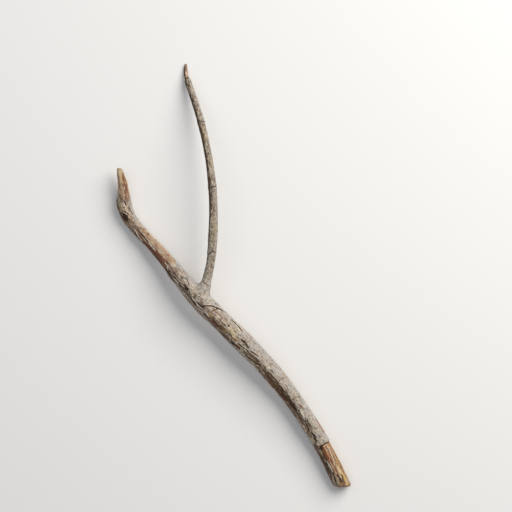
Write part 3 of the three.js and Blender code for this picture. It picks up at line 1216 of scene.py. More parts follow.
class Nodes:
    """Adds linked nodes to one node tree."""

    def __init__(self, tree: bpy.types.NodeTree) -> None:
        """Work on a tree."""
        self.tree = tree

    def fill(self, node: bpy.types.Node, inputs: Inputs) -> bpy.types.Node:
        """Set or link a node's inputs.

        Args:
            node: The node.
            inputs: A value or a socket for each input, by its name or number.

        Returns:
            The same node.
        """
        for key, value in inputs.items():
            if isinstance(value, bpy.types.NodeSocket):
                self.tree.links.new(value, node.inputs[key])
            else:
                node.inputs[key].default_value = value
        return node

    def add(self, kind: str, inputs: Inputs | None = None, **settings: object) -> bpy.types.Node:
        """Add a node.

        Args:
            kind: The node's type, without its ShaderNode prefix.
            inputs: A value or a socket for each input, by its name or number.
            settings: The node's own properties.

        Returns:
            The new node.
        """
        node = self.tree.nodes.new(f"ShaderNode{kind}")
        for name, value in settings.items():
            setattr(node, name, value)
        return self.fill(node, inputs or {})

    def placed(self, group: str, inputs: Inputs) -> bpy.types.NodeOutputs:
        """Place a shared group with this tree's own values, and give its outputs."""
        return self.add("Group", inputs, node_tree=bpy.data.node_groups[group]).outputs

    def mix(self, factor: object, low: object, high: object) -> bpy.types.NodeSocket:
        """Mix two colours."""
        return self.add("Mix", {0: factor, 6: low, 7: high}, data_type="RGBA").outputs[2]

    def blend(self, factor: object, low: object, high: object) -> bpy.types.NodeSocket:
        """Mix two numbers."""
        return self.add("Mix", {0: factor, 2: low, 3: high}, data_type="FLOAT").outputs[0]

    def math(self, operation: str, *values: object) -> bpy.types.NodeSocket:
        """Work out one number."""
        return self.add("Math", dict(enumerate(values)), operation=operation).outputs[0]

    def vector(self, operation: str, inputs: Inputs) -> bpy.types.NodeSocket:
        """Work out one vector."""
        return self.add("VectorMath", inputs, operation=operation).outputs[0]

    def ramp(self, value: object, low: object, high: object) -> bpy.types.NodeSocket:
        """Rise smoothly from 0 at low to 1 at high."""
        inputs = {"Value": value, "From Min": low, "From Max": high}
        return self.add("MapRange", inputs, interpolation_type="SMOOTHSTEP").outputs[0]

    def noise(
        self, vector: object, scale: float, detail: float, distortion: float = 0.0
    ) -> bpy.types.NodeSocket:
        """Read Blender's noise texture."""
        inputs = {"Vector": vector, "Scale": scale, "Detail": detail, "Distortion": distortion}
        return self.add("TexNoise", inputs, noise_dimensions="3D").outputs[0]

    def squeeze(self, vector: object, stretch: float) -> bpy.types.NodeSocket:
        """Shorten the grain direction, so that a texture runs with the grain."""
        return self.vector("MULTIPLY", {0: vector, 1: (1 / stretch, 1.0, 1.0)})

    def ragged(
        self, mask: object, noise: object, amount: float, softness: float = 0.5
    ) -> bpy.types.NodeSocket:
        """Break up a mask's edge."""
        inputs = {"Mask": mask, "Noise": noise, "Amount": amount, "Softness": softness}
        return self.placed("ragged_mask", inputs)["Mask"]


class Socket(Enum):
    """Kinds of group socket."""

    NUMBER = "NodeSocketFloat"
    COLOUR = "NodeSocketColor"
    VECTOR = "NodeSocketVector"


class Group(Nodes):
    """A shader node group, which materials place with values of their own."""

    def __init__(self, name: str, inputs: dict[str, Socket], outputs: dict[str, Socket]) -> None:
        """Start the group.

        Args:
            name: The group's name.
            inputs: The kind of each named input.
            outputs: The kind of each named output.
        """
        super().__init__(bpy.data.node_groups.new(name, "ShaderNodeTree"))
        for label, kind in inputs.items():
            self.tree.interface.new_socket(label, in_out="INPUT", socket_type=kind.value)
        for label, kind in outputs.items():
            self.tree.interface.new_socket(label, in_out="OUTPUT", socket_type=kind.value)
        self.given = self.tree.nodes.new("NodeGroupInput").outputs

    def put_out(self, found: Inputs) -> bpy.types.NodeTree:
        """Link what the group puts out, and give its tree."""
        self.fill(self.tree.nodes.new("NodeGroupOutput"), found)
        return self.tree


def bark_mottle_group() -> bpy.types.NodeTree:
    """Blotches, grit and dark specks of bark, the same size wherever it grows.

    Returns:
        The group: Place in millimetres and Specks in, Blotch, Warmth, Grit, Speck and Height out.
    """
    outputs = dict.fromkeys(("Blotch", "Warmth", "Grit", "Speck", "Height"), Socket.NUMBER)
    group = Group("bark_mottle", {"Place": Socket.VECTOR, "Specks": Socket.NUMBER}, outputs)
    place = group.given["Place"]
    blotch = group.ramp(group.noise(place, 0.13, 4, 0.6), 0.36, 0.64)
    warmth = group.ramp(group.noise(place, 0.09, 3, 1.5), 0.42, 0.7)
    grit = group.ramp(group.noise(place, 0.42, 5, 0.4), 0.32, 0.68)
    few = group.ramp(group.noise(place, 0.16, 3), 0.4, 0.62)
    spots = group.math("MULTIPLY", group.ramp(group.noise(place, 0.55, 3, 0.8), 0.55, 0.68), few)
    speck = group.math("MULTIPLY", spots, group.given["Specks"])
    height = group.math("SUBTRACT", grit, speck)
    return group.put_out({"Blotch": blotch, "Warmth": warmth, "Grit": grit, "Speck": speck, "Height": height})


def wood_grain_group() -> bpy.types.NodeTree:
    """Streaks that run with the grain.

    Returns:
        The group: Grain place and Fineness in, Streaks, Fibre and Height out.
    """
    outputs = dict.fromkeys(("Streaks", "Fibre", "Height"), Socket.NUMBER)
    group = Group("wood_grain", {"Grain": Socket.VECTOR, "Fineness": Socket.NUMBER}, outputs)
    place = group.vector("SCALE", {0: group.given["Grain"], "Scale": group.given["Fineness"]})
    streaks = group.ramp(group.noise(group.squeeze(place, 5), 0.26, 4, 1.0), 0.36, 0.64)
    fibre = group.ramp(group.noise(group.squeeze(place, 11), 0.9, 4, 0.5), 0.34, 0.66)
    height = group.math("ADD", group.math("MULTIPLY", streaks, 0.5), fibre)
    return group.put_out({"Streaks": streaks, "Fibre": fibre, "Height": height})


def ragged_mask_group() -> bpy.types.NodeTree:
    """Breaks up a soft mask with noise, so that it ends in a ragged edge.

    Returns:
        The group: Mask, Noise, Amount and Softness in, Mask out.
    """
    inputs = dict.fromkeys(("Mask", "Noise", "Amount", "Softness"), Socket.NUMBER)
    group = Group("ragged_mask", inputs, {"Mask": Socket.NUMBER})
    mask = group.given["Mask"]
    between = group.math("MULTIPLY", group.math("MULTIPLY", mask, group.math("SUBTRACT", 1.0, mask)), 4.0)
    swing = group.math("MULTIPLY", group.math("SUBTRACT", group.given["Noise"], 0.5), group.given["Amount"])
    shift = group.math("MULTIPLY", swing, between)
    low = group.math("SUBTRACT", 0.5, group.given["Softness"])
    high = group.math("ADD", 0.5, group.given["Softness"])
    return group.put_out({"Mask": group.ramp(group.math("ADD", mask, shift), low, high)})


def weathering_group() -> bpy.types.NodeTree:
    """Tints a surface: pale where it is freshly broken, sooty with age, and dark in its hollows.

    Returns:
        The group: Colour, three masks and a colour for each in, Colour out.
    """
    masks = ("Pale", "Soot", "Cavity")
    inputs = {"Colour": Socket.COLOUR}
    inputs.update((label, Socket.NUMBER) for label in masks)
    inputs.update((f"{label} colour", Socket.COLOUR) for label in masks)
    group = Group("weathering", inputs, {"Colour": Socket.COLOUR})
    colour = group.given["Colour"]
    for label in masks:
        colour = group.mix(group.given[label], colour, group.given[f"{label} colour"])
    return group.put_out({"Colour": colour})


class Surface(Nodes):
    """A material's nodes, with what it reads from its mesh and from the shared groups."""

    FLANK_FINENESS = 1.6

    def __init__(self, material: bpy.types.Material, specks: float) -> None:
        """Empty the material and read the mesh.

        Args:
            material: The material to make.
            specks: How strong the bark's dark specks are.
        """
        material.use_nodes = True
        material.node_tree.nodes.clear()
        super().__init__(material.node_tree)
        place = self.vector("SCALE", {0: self.add("TexCoord").outputs["Object"], "Scale": 1 / METRES})
        self.grain = self.add("Attribute", attribute_name="grain").outputs["Vector"]
        self.outer, self.wood, *of_coat = self._channels("coat")
        self.tints = dict(zip((*COAT_TINTS, *LAID_TINTS), (*of_coat, *self._channels("tints"))))
        self.mottle = self.placed("bark_mottle", {"Place": place, "Specks": specks})
        self.fibres = self.placed("wood_grain", {"Grain": self.grain, "Fineness": 1.0})
        self.flank = self.placed("wood_grain", {"Grain": self.grain, "Fineness": self.FLANK_FINENESS})

    def _channels(self, name: str) -> list[bpy.types.NodeSocket]:
        """Read the four numbers of one painted attribute."""
        stored = self.add("Attribute", attribute_name=name).outputs
        split = self.add("SeparateColor", {0: stored["Color"]}).outputs
        return [split["Red"], split["Green"], split["Blue"], stored["Alpha"]]

    def facing_right(self) -> bpy.types.NodeSocket:
        """Rise from 0 on the limb's top and left to 1 on its right-hand side."""
        across = self.vector("MULTIPLY", {0: self.grain, 1: (0.0, 1.0, 1.0)})
        facing = self.vector("NORMALIZE", {0: across})
        return self.ramp(self.add("SeparateXYZ", {0: facing}).outputs["Y"], 0.25, 0.95)


@dataclass(frozen=True)
class Finish:
    """The colours of a limb's bark and wood, as seen in soft daylight."""

    name: str
    bark_light: str = "d9cdba"
    bark_mid: str = "958773"
    bark_cool: str = "b2b0ae"
    bark_warm: str = "b09885"
    speck: str = "66574a"
    inner_light: str = "b29b86"
    inner_dark: str = "645041"
    wood_light: str = "dfc298"
    wood_mid: str = "b3865b"
    wood_dark: str = "6e452c"
    pale: str = "dccdb6"
    rust: str = "a9653a"
    ruddy: str = "71412f"
    soot: str = "503d2c"
    honey: str = "c4aa69"
    cavity: str = "231810"
    specks: float = 0.7
    bark_bump: float = 0.45
    wood_bump: float = 0.3
    bark_rough: float = 0.92
    wood_rough: float = 0.68
    gloss: float = 0.25

    def material(self) -> bpy.types.Material:
        """Make the material.

        Returns:
            A material that reads the mesh's coat, tints and grain.
        """
        made = bpy.data.materials.new(self.name)
        nodes = Surface(made, self.specks)
        outer = nodes.ragged(nodes.outer, nodes.mottle["Grit"], 0.35, 0.28)
        bare = nodes.ragged(nodes.wood, nodes.fibres["Fibre"], 0.2, 0.28)
        colour = nodes.mix(outer, self._inner_colour(nodes), self._bark_colour(nodes))
        colour = nodes.mix(bare, colour, self._wood_colour(nodes))
        bark_height = nodes.math("MULTIPLY", nodes.mottle["Height"], self.bark_bump)
        wood_height = nodes.math("MULTIPLY", nodes.fibres["Height"], self.wood_bump)
        height = nodes.blend(bare, bark_height, wood_height)
        look = {
            "Base Color": self._aged(nodes, colour),
            "Roughness": nodes.blend(bare, self.bark_rough, self.wood_rough),
            "Normal": nodes.add("Bump", {"Height": height, "Strength": 0.8, "Distance": METRES}).outputs[0],
            "Specular IOR Level": self.gloss,
        }
        nodes.add("OutputMaterial", {"Surface": nodes.add("BsdfPrincipled", look).outputs[0]})
        return made

    def _bark_colour(self, nodes: Surface) -> bpy.types.NodeSocket:
        """Colour the outer bark: gritty, cooler on its right-hand side, warm in patches and specked.

        Args:
            nodes: The material's nodes.

        Returns:
            The colour.
        """
        right = nodes.facing_right()
        blotch = nodes.math("MULTIPLY", nodes.mottle["Blotch"], 0.45)
        cool = nodes.math("ADD", blotch, nodes.math("MULTIPLY", right, 0.5))
        warm = nodes.math("MULTIPLY", nodes.mottle["Warmth"], 0.36)
        specks = nodes.math("MULTIPLY", nodes.mottle["Speck"], nodes.math("SUBTRACT", 1.0, right))
        colour = nodes.mix(nodes.mottle["Grit"], paint_of(self.bark_mid), paint_of(self.bark_light))
        for mask, code in ((cool, self.bark_cool), (warm, self.bark_warm), (specks, self.speck)):
            colour = nodes.mix(mask, colour, paint_of(code))
        return colour

    def _inner_colour(self, nodes: Surface) -> bpy.types.NodeSocket:
        """Colour the inner bark, streaked with the grain and gritty."""
        streaks = nodes.mix(nodes.flank["Streaks"], paint_of(self.inner_dark), paint_of(self.inner_light))
        grit = nodes.math("MULTIPLY", nodes.mottle["Grit"], 0.45)
        return nodes.mix(grit, streaks, paint_of(self.inner_dark))

    def _wood_colour(self, nodes: Surface) -> bpy.types.NodeSocket:
        """Colour the bare wood, with dark fibres in its streaks."""
        streaks = nodes.mix(nodes.fibres["Streaks"], paint_of(self.wood_mid), paint_of(self.wood_light))
        dark = nodes.math("MULTIPLY", nodes.math("SUBTRACT", 1.0, nodes.fibres["Fibre"]), 0.6)
        return nodes.mix(dark, streaks, paint_of(self.wood_dark))

    def _aged(self, nodes: Surface, colour: bpy.types.NodeSocket) -> bpy.types.NodeSocket:
        """Lay the tints over a colour.

        Args:
            nodes: The material's nodes.
            colour: The colour of the bark and the wood.

        Returns:
            The colour with its stains, its pale breaks and its dark hollows.
        """
        for tint, code in ((Tint.RUST, self.rust), (Tint.RUDDY, self.ruddy), (Tint.HONEY, self.honey)):
            mask = nodes.ragged(nodes.tints[tint], nodes.fibres["Fibre"], 0.5)
            colour = nodes.mix(mask, colour, paint_of(code))
        aged = {
            "Colour": colour,
            "Pale": nodes.ragged(nodes.tints[Tint.PALE_AND_HIGHLIGHT], nodes.mottle["Grit"], 0.5),
            "Soot": nodes.ragged(nodes.tints[Tint.SOOT], nodes.flank["Streaks"], 0.5),
            "Cavity": nodes.ragged(nodes.tints[Tint.CAVITY_SHADE], nodes.mottle["Grit"], 0.2),
            "Pale colour": paint_of(self.pale),
            "Soot colour": paint_of(self.soot),
            "Cavity colour": paint_of(self.cavity),
        }
        return nodes.placed("weathering", aged)["Colour"]


STEM_FINISH = Finish(
    "weathered_stem", bark_light="d7cbb9", wood_light="d9bf9a", wood_mid="ae8560", rust="a3673f",
)
LIMB_FINISH = Finish(
    "weathered_limb", bark_light="d4c6b1", bark_mid="93816d", wood_light="dcc3a2", wood_mid="b59273",
    inner_light="b89f8b", inner_dark="705849", rust="a9744f", honey="c6ac74", pale="d0bfa8",
)
TWIG_FINISH = Finish(
    "weathered_twig", bark_light="d3c8b5", bark_mid="7f7262", bark_cool="a09b92", bark_warm="9f8a78",
    speck="4c4035", inner_light="8d7d6c", inner_dark="4a3e33", wood_light="c9a893", wood_mid="94705d",
    pale="cfc0aa", ruddy="6b5142", honey="b09a68", specks=1.0,
)

LEADER = Limb(
    stations=(
        Station(137.1, -264.5, 9.4, 10.5),
        Station(112.0, -214.0, 11.4, 10.7),
        Station(91.0, -179.3, 14.2, 10.8),
        Station(68.0, -146.0, 17.5, 11.2),
        Station(42.0, -115.0, 20.1, 12.3),
        Station(14.0, -85.5, 22.0, 12.9),
        Station(-15.0, -56.8, 23.0, 12.5),
        Station(-31.0, -41.4, 23.3, 12.7),
        Station(-45.5, -26.6, 23.0, 12.1),
        Station(-65.2, -4.6, 21.2, 10.4),
        Station(-89.0, 25.3, 17.0, 9.0),
        Station(-107.5, 45.6, 13.2, 8.3),
        Station(-122.6, 61.6, 10.3, 7.9),
        Station(-133.0, 76.6, 9.0, 8.8),
        Station(-136.7, 90.0, 9.1, 9.4),
        Station(-137.4, 101.5, 10.6, 8.0),
        Station(-138.4, 113.0, 13.0, 6.7),
        Station(-140.8, 125.0, 15.9, 5.1),
        Station(-142.2, 133.6, 18.0, 3.5),
    ),
    swells=(
        Swell(24, 36, 120, 3.4, -1.6),
        Swell(24, 40, 98, 6, 0.5),
        Swell(103, 20, 116, 3.6, -1.5),
        Swell(152, 90, 142, 12, -0.9),
        Swell(212, 34, 104, 6, -1.0),
        Swell(250, 26, 118, 10, -0.9),
        Swell(304, 48, 184, 16, 0.5),
        Swell(402, 30, 112, 4, -1.2),
        Swell(454, 16, 180, 11, 0.6),
        Swell(484, 34, 60, 7, -0.8),
    ),
)
TWIG = Limb(
    stations=(
        Station(-39.0, -29.0, 24.5, 6.0),
        Station(-32.2, -1.3, 30.0, 5.5),
        Station(-28.2, 18.0, 34.5, 5.4),
        Station(-25.2, 55.0, 40.8, 5.7),
        Station(-25.3, 96.6, 42.7, 5.4),
        Station(-30.2, 142.0, 37.5, 4.7),
        Station(-39.3, 186.3, 26.0, 4.5),
        Station(-47.8, 215.3, 16.0, 4.5),
        Station(-55.6, 237.5, 8.2, 4.2),
        Station(-59.3, 250.0, 4.3, 3.1),
        Station(-60.0, 258.0, 1.9, 2.6),
        Station(-59.7, 264.8, 1.3, 1.7),
    ),
    swells=(
        Swell(61, 6, 90, 40, 0.35),
        Swell(142, 6, 90, 40, 0.35),
        Swell(225, 6, 90, 40, 0.3),
        Swell(297, 16, 60, 3, -0.6),
    ),
    waviness=0.5,
)
FORK = Fork(LEADER, TWIG)
# Where the leader is parted past the fork, and the twig over its collar.
FORK_CUT = 330.0
TWIG_CUT = 27.0

# Marks are grouped by where they lie, in the order cracks and ridges, holes, stains and flecks.
# The bare butt and the bark's edge round it.
BUTT_MARKS: tuple[Mark, ...] = (
    Trace(((19, 90), (13, 86), (7, 79)), 1.4, -1.3, lip=0.2),
    Trace(((38, 120), (28, 117), (16, 124), (9, 131)), 1.2, -0.8, lip=0.35),
    Trace(((57, 63), (48, 57), (33, 65)), 1.4, 0.3, Tint.PALE_AND_HIGHLIGHT, wander=0.9),
    Stain(Tint.PALE_AND_HIGHLIGHT, 7, 120, 8, 6, 0.6),
    Stain(Tint.SOOT, 9, 66, 10, 3, 0.6),
    Stain(Tint.SOOT, 12, 88, 14, 4, 0.8),
    Stain(Tint.HONEY, 16, 56, 26, 7, 0.8),
    Stain(Tint.RUDDY, 22, 34, 26, 3, 0.6),
    Stain(Tint.PALE_AND_HIGHLIGHT, 24, 63, 24, 3, 0.5),
    Stain(Tint.RUDDY, 30, 100, 22, 4, 0.6),
    Stain(Tint.RUDDY, 30, 84, 26, 3, 0.7),
    Stain(Tint.SOOT, 30, 146, 66, 12, 0.55),
    Stain(Tint.HONEY, 31, 42, 20, 4, 0.6),
    Stain(Tint.RUDDY, 34, 168, 70, 12, 0.6),
    Stain(Tint.SOOT, 36, 116, 26, 3, 0.7),
    Stain(Tint.RUST, 40, 30, 30, 6, 0.5),
    Stain(Tint.RUST, 47, 94, 36, 9, 0.55),
    Stain(Tint.RUDDY, 50, 100, 24, 5, 0.7),
    Stain(Tint.CAVITY_SHADE, 56.5, 108, 5.5, 8, 0.85, 0.2),
    Flecks(Tint.SOOT, (1, 50), (16, 120), 10, 2.0, 0.8),
    Flecks(Tint.PALE_AND_HIGHLIGHT, (1, 108), (18, 150), 9, 2.4, 0.8),
    Flecks(Tint.RUDDY, (4, 30), (56, 110), 18, 2.8, 0.5),
)
# The lower stem: its flaked flank and the bark over it.
LOWER_STEM_MARKS: tuple[Mark, ...] = (
    Trace(((80, 112), (74, 106), (68, 108)), 1.0, -0.7, lip=0.2),
    Trace(((98, 88), (90, 92), (84, 96)), 0.9, -0.6, lip=0.2),
    Trace(((113, 102), (107, 104), (96, 111), (84, 120)), 1.7, -1.2, lip=0.25),
    Trace(((111, 92), (100, 96), (90, 104)), 1.2, 0.3, Tint.PALE_AND_HIGHLIGHT),
    Trace(((118, 116), (110, 103)), 1.5, -1.0),
    Trace(((143, 104), (138, 101), (133, 103)), 1.0, -0.7, lip=0.2),
    Trace(((158, 54), (154, 51)), 0.9, -0.5),
    Trace(((166, 103), (160, 99), (154, 101)), 1.0, -0.7, lip=0.2),
    Trace(((175, 80), (169, 82)), 0.9, -0.6),
    Trace(((203, 104), (197, 101), (190, 99)), 1.0, -0.8, lip=0.2),
    Hole(76, 101, 1.6, 1.2),
    Stain(Tint.SOOT, 78, 114, 22, 4, 0.4),
    Stain(Tint.RUST, 80, 24, 26, 2.6, 0.9, 0.4),
    Stain(Tint.RUDDY, 90, 136, 40, 10, 0.6),
    Stain(Tint.SOOT, 105, 122, 30, 6, 0.45),
    Stain(Tint.RUDDY, 116, 80, 8, 4, 0.5),
    Stain(Tint.SOOT, 121, 118, 18, 9, 0.95, 0.5),
    Stain(Tint.RUDDY, 140, 132, 66, 15, 0.75),
    Stain(Tint.SOOT, 140, 124, 58, 10, 0.6),
    Stain(Tint.SOOT, 140, 152, 60, 12, 0.45),
    Stain(Tint.SOOT, 150, 108, 30, 5, 0.4),
    Stain(Tint.HONEY, 158, 27, 16, 3.5, 0.55),
    Stain(Tint.SOOT, 178, 108, 20, 5, 0.4),
    Flecks(Tint.SOOT, (62, 96), (112, 128), 18, 2.0, 0.7, 0.2),
    Flecks(Tint.PALE_AND_HIGHLIGHT, (62, 106), (116, 160), 18, 2.1, 0.7, -0.1),
    Flecks(Tint.PALE_AND_HIGHLIGHT, (122, 104), (166, 124), 7, 1.6, 0.6, -0.1),
    Flecks(Tint.RUDDY, (64, 90), (226, 150), 48, 3.0, 0.6),
    Flecks(Tint.SOOT, (126, 96), (212, 136), 26, 2.2, 0.7, 0.2),
    Flecks(Tint.PALE_AND_HIGHLIGHT, (168, 104), (218, 160), 18, 2.2, 0.7, -0.1),
)
# Below the fork: cracks, a beetle hole and the orange spot.
BELOW_FORK_MARKS: tuple[Mark, ...] = (
    Trace(((208, 95), (202, 88), (196, 85)), 1.5, -1.1, lip=0.25),
    Trace(((219, 124), (213, 121), (206, 118)), 0.9, -0.7, lip=0.2),
    Trace(((222, 97), (216, 94), (211, 92)), 0.9, -0.7, lip=0.2),
    Trace(((226, 119), (220, 115), (214, 108), (208, 108)), 1.4, -1.1, lip=0.3),
    Trace(((225, 102), (218, 99), (211, 98)), 1.4, 0.35, Tint.PALE_AND_HIGHLIGHT),
    Trace(((227.5, 86), (221, 84), (213, 87)), 1.8, -1.3, lip=0.3),
    Trace(((233, 92), (229, 90)), 1.0, -0.7),
    Trace(((241, 78), (236, 80)), 0.9, -0.6),
    Hole(232.8, 78, 1.5, 1.2),
    Stain(Tint.SOOT, 205, 124, 24, 6, 0.45),
    Stain(Tint.SOOT, 229.5, 140, 9, 6, 0.9, 0.4),
    Stain(Tint.RUST, 233.5, 106, 9, 6.5, 1.0),
)
# The fork: its cracks and creases, beetle holes and the wide scar past it.
FORK_MARKS: tuple[Mark, ...] = (
    Trace(((252, 38), (244, 34), (239, 35), (232, 45)), 2.3, -1.5, lip=0.2),
    Trace(((258, 82), (252, 88), (246, 92)), 1.2, 0.35, Tint.PALE_AND_HIGHLIGHT),
    Trace(((275, 50), (266, 28), (261, 19)), 2.1, -1.5, lip=0.2),
    Trace(((282, 115), (275, 126)), 1.5, 0.4, Tint.PALE_AND_HIGHLIGHT),
    Trace(((291, 117), (287.5, 93), (282, 67), (275, 50)), 1.5, -1.1, lip=0.2),
    Trace(((288, 116), (292, 98)), 1.2, -0.8),
    Trace(((301, 126), (296, 133), (289, 131)), 1.0, -0.7, lip=0.3),
    Trace(((303, 86), (300, 78), (295, 80), (294, 88)), 0.9, -0.5, lip=0.15),
    Trace(((315, 89), (306, 106), (301, 115), (295, 114), (289, 112)), 1.3, -1.0, lip=0.2),
    Trace(((309, 118), (305, 128), (299, 134)), 1.0, -0.7, lip=0.3),
    Trace(((313, 112), (309, 108), (305, 111)), 1.1, 0.4, Tint.PALE_AND_HIGHLIGHT),
    Trace(((321, 96), (314, 99), (308, 97)), 1.0, -0.8, lip=0.3),
    Trace(((322, 90), (317, 91)), 1.0, 0.35, Tint.PALE_AND_HIGHLIGHT),
    Trace(((325, 96), (321, 98), (317, 97)), 1.2, -0.8),
    Trace(((328, 58), (324, 64), (320, 71)), 1.0, -0.8),
    Trace(((329, 112), (325, 104), (320, 103)), 1.0, -0.7, lip=0.3),
    Trace(((331, 118), (327, 121), (322, 120)), 1.1, -0.7, lip=0.2),
    Hole(249.5, 81, 2.4),
    Hole(274.5, 52, 3.6, 2.4),
    Hole(274.8, 67, 1.3, 0.9),
    Hole(310.8, 72, 1.0, 0.6),
    Hole(311.8, 31, 1.2, 0.8),
    Hole(318, 107, 4.2, 0.9, 1.5, 0.3, 1.2),
    Hole(328.8, 56, 1.5, 1.0),
    Stain(Tint.HONEY, 243, 96, 26, 11, 0.8),
    Stain(Tint.PALE_AND_HIGHLIGHT, 247, 92, 18, 4, 0.7),
    Stain(Tint.SOOT, 254, 116, 14, 6, 0.5),
    Stain(Tint.PALE_AND_HIGHLIGHT, 256, 84, 9, 4.5, 0.8),
    Stain(Tint.RUDDY, 256, 104, 14, 7, 0.6),
    Stain(Tint.RUDDY, 258, 76, 14, 6, 0.4),
    Stain(Tint.RUST, 258, 120, 12, 5, 0.45),
    Stain(Tint.PALE_AND_HIGHLIGHT, 262, 110, 16, 6, 0.6),
    Stain(Tint.RUST, 262, 90, 58, 17, 0.25),
    Stain(Tint.PALE_AND_HIGHLIGHT, 262, 100, 8, 3, 0.6),
    Stain(Tint.RUDDY, 263, 97, 12, 6, 0.6),
    Stain(Tint.RUDDY, 264, 94, 54, 15, 0.35),
    Stain(Tint.RUDDY, 266, 92, 30, 13, 0.45),
    Stain(Tint.PALE_AND_HIGHLIGHT, 267, 83, 9, 4, 0.8),
    Stain(Tint.RUDDY, 268, 124, 30, 9, 0.75),
    Stain(Tint.RUDDY, 272, 96, 12, 7, 0.45),
    Stain(Tint.PALE_AND_HIGHLIGHT, 273, 84, 7, 3.5, 0.8),
    Stain(Tint.RUDDY, 275, 76, 18, 9, 0.4),
    Stain(Tint.HONEY, 276, 112, 22, 7, 0.35),
    Stain(Tint.PALE_AND_HIGHLIGHT, 280, 82, 7, 3.5, 0.9),
    Stain(Tint.RUDDY, 284, 106, 12, 6, 0.5),
    Stain(Tint.PALE_AND_HIGHLIGHT, 286, 128, 12, 4, 0.7),
    Stain(Tint.SOOT, 292, 108, 12, 5, 0.7),
    Stain(Tint.PALE_AND_HIGHLIGHT, 296, 124, 8, 2.5, 0.7),
    Stain(Tint.RUDDY, 300, 146, 60, 12, 0.4),
    Stain(Tint.PALE_AND_HIGHLIGHT, 303, 112, 10, 2.5, 0.7),
    Stain(Tint.SOOT, 306, 122, 34, 5, 0.3),
    Stain(Tint.SOOT, 311, 106, 9, 3, 0.7),
    Stain(Tint.SOOT, 319, 96, 12, 3, 0.6),
    Stain(Tint.SOOT, 331, 112, 14, 4, 0.7),
    Stain(Tint.SOOT, 344, 140, 24, 9, 0.6),
    Flecks(Tint.PALE_AND_HIGHLIGHT, (232, 78), (284, 112), 12, 2.6, 0.8, -0.1),
    Flecks(Tint.RUDDY, (238, 92), (282, 122), 16, 3.2, 0.5),
    Flecks(Tint.SOOT, (241, 106), (282, 132), 18, 2.2, 0.6, 0.2),
    Flecks(Tint.PALE_AND_HIGHLIGHT, (286, 98), (338, 140), 32, 2.0, 0.9, -0.15),
    Flecks(Tint.RUDDY, (284, 84), (340, 120), 22, 2.6, 0.6),
    Flecks(Tint.SOOT, (284, 96), (342, 136), 34, 2.1, 0.75, 0.3),
)
# The bare strip and the inner bark along it.
STRIP_MARKS: tuple[Mark, ...] = (
    Trace(((423, 64), (413, 77), (403, 84), (392, 98), (379, 101)), 1.5, 0.45, Tint.PALE_AND_HIGHLIGHT, wander=0.9),
    Trace(((415, 103), (408, 102), (400, 107), (393, 112)), 1.8, -1.0, Tint.RUDDY, lip=0.25),
    Trace(((412, 103), (405, 104), (399, 108)), 0.9, -0.5),
    Hole(412.8, 79, 1.4, 1.0),
    Stain(Tint.RUDDY, 347, 94, 20, 10, 0.5),
    Stain(Tint.PALE_AND_HIGHLIGHT, 352, 74, 12, 6, 0.6),
    Stain(Tint.RUDDY, 362, 118, 18, 8, 0.8),
    Stain(Tint.RUDDY, 368, 62, 34, 9, 0.45),
    Stain(Tint.RUST, 372, 50, 32, 5, 0.45),
    Stain(Tint.PALE_AND_HIGHLIGHT, 375, 82, 10, 4, 0.7),
    Stain(Tint.PALE_AND_HIGHLIGHT, 378, 56, 66, 7, 0.4),
    Stain(Tint.RUDDY, 380, 156, 80, 13, 0.75),
    Stain(Tint.RUDDY, 384, 126, 66, 12, 0.8, 0.3),
    Stain(Tint.SOOT, 384, 150, 70, 10, 0.25),
    Stain(Tint.SOOT, 392, 124, 46, 5, 0.15),
    Stain(Tint.PALE_AND_HIGHLIGHT, 392, 22, 80, 11, 0.5),
    Stain(Tint.RUDDY, 392, 104, 44, 6, 0.4),
    Stain(Tint.SOOT, 398, 120, 34, 4, 0.15),
    Stain(Tint.RUST, 410, 52, 20, 3, 0.5),
    Flecks(Tint.RUDDY, (346, 74), (430, 122), 20, 3.0, 0.5),
)
# The knuckle, with its scar.
KNUCKLE_MARKS: tuple[Mark, ...] = (
    Trace(((447, 57), (441, 47), (434, 39)), 1.3, -1.1, lip=0.3),
    Trace(((445, 128), (443, 100), (436, 74)), 1.1, -0.6, lip=0.2),
    Trace(((455, 104), (447, 88), (440, 80)), 1.8, 0.4, Tint.PALE_AND_HIGHLIGHT),
    Trace(((457, 88), (450, 74)), 1.5, -1.3, lip=0.3),
    Hole(428, 91, 1.3, 0.9),
    Hole(436.5, 117, 8.4, 1.0, 1.15, 0.35, 1.8),
    Stain(Tint.SOOT, 433, 124, 14, 9, 0.7),
    Stain(Tint.RUST, 436, 80, 20, 8, 0.45),
    Stain(Tint.HONEY, 446, 98, 24, 8, 0.4),
    Stain(Tint.PALE_AND_HIGHLIGHT, 447, 84, 24, 13, 0.4),
    Stain(Tint.SOOT, 448, 146, 34, 9, 0.6),
    Stain(Tint.RUDDY, 452, 64, 26, 9, 0.55),
    Stain(Tint.SOOT, 458, 108, 10, 3, 0.5),
    Stain(Tint.SOOT, 462, 128, 12, 6, 0.6),
    Flecks(Tint.HONEY, (426, 80), (462, 150), 10, 3.2, 0.5),
    Flecks(Tint.SOOT, (430, 80), (460, 140), 9, 1.7, 0.6, 0.1),
)
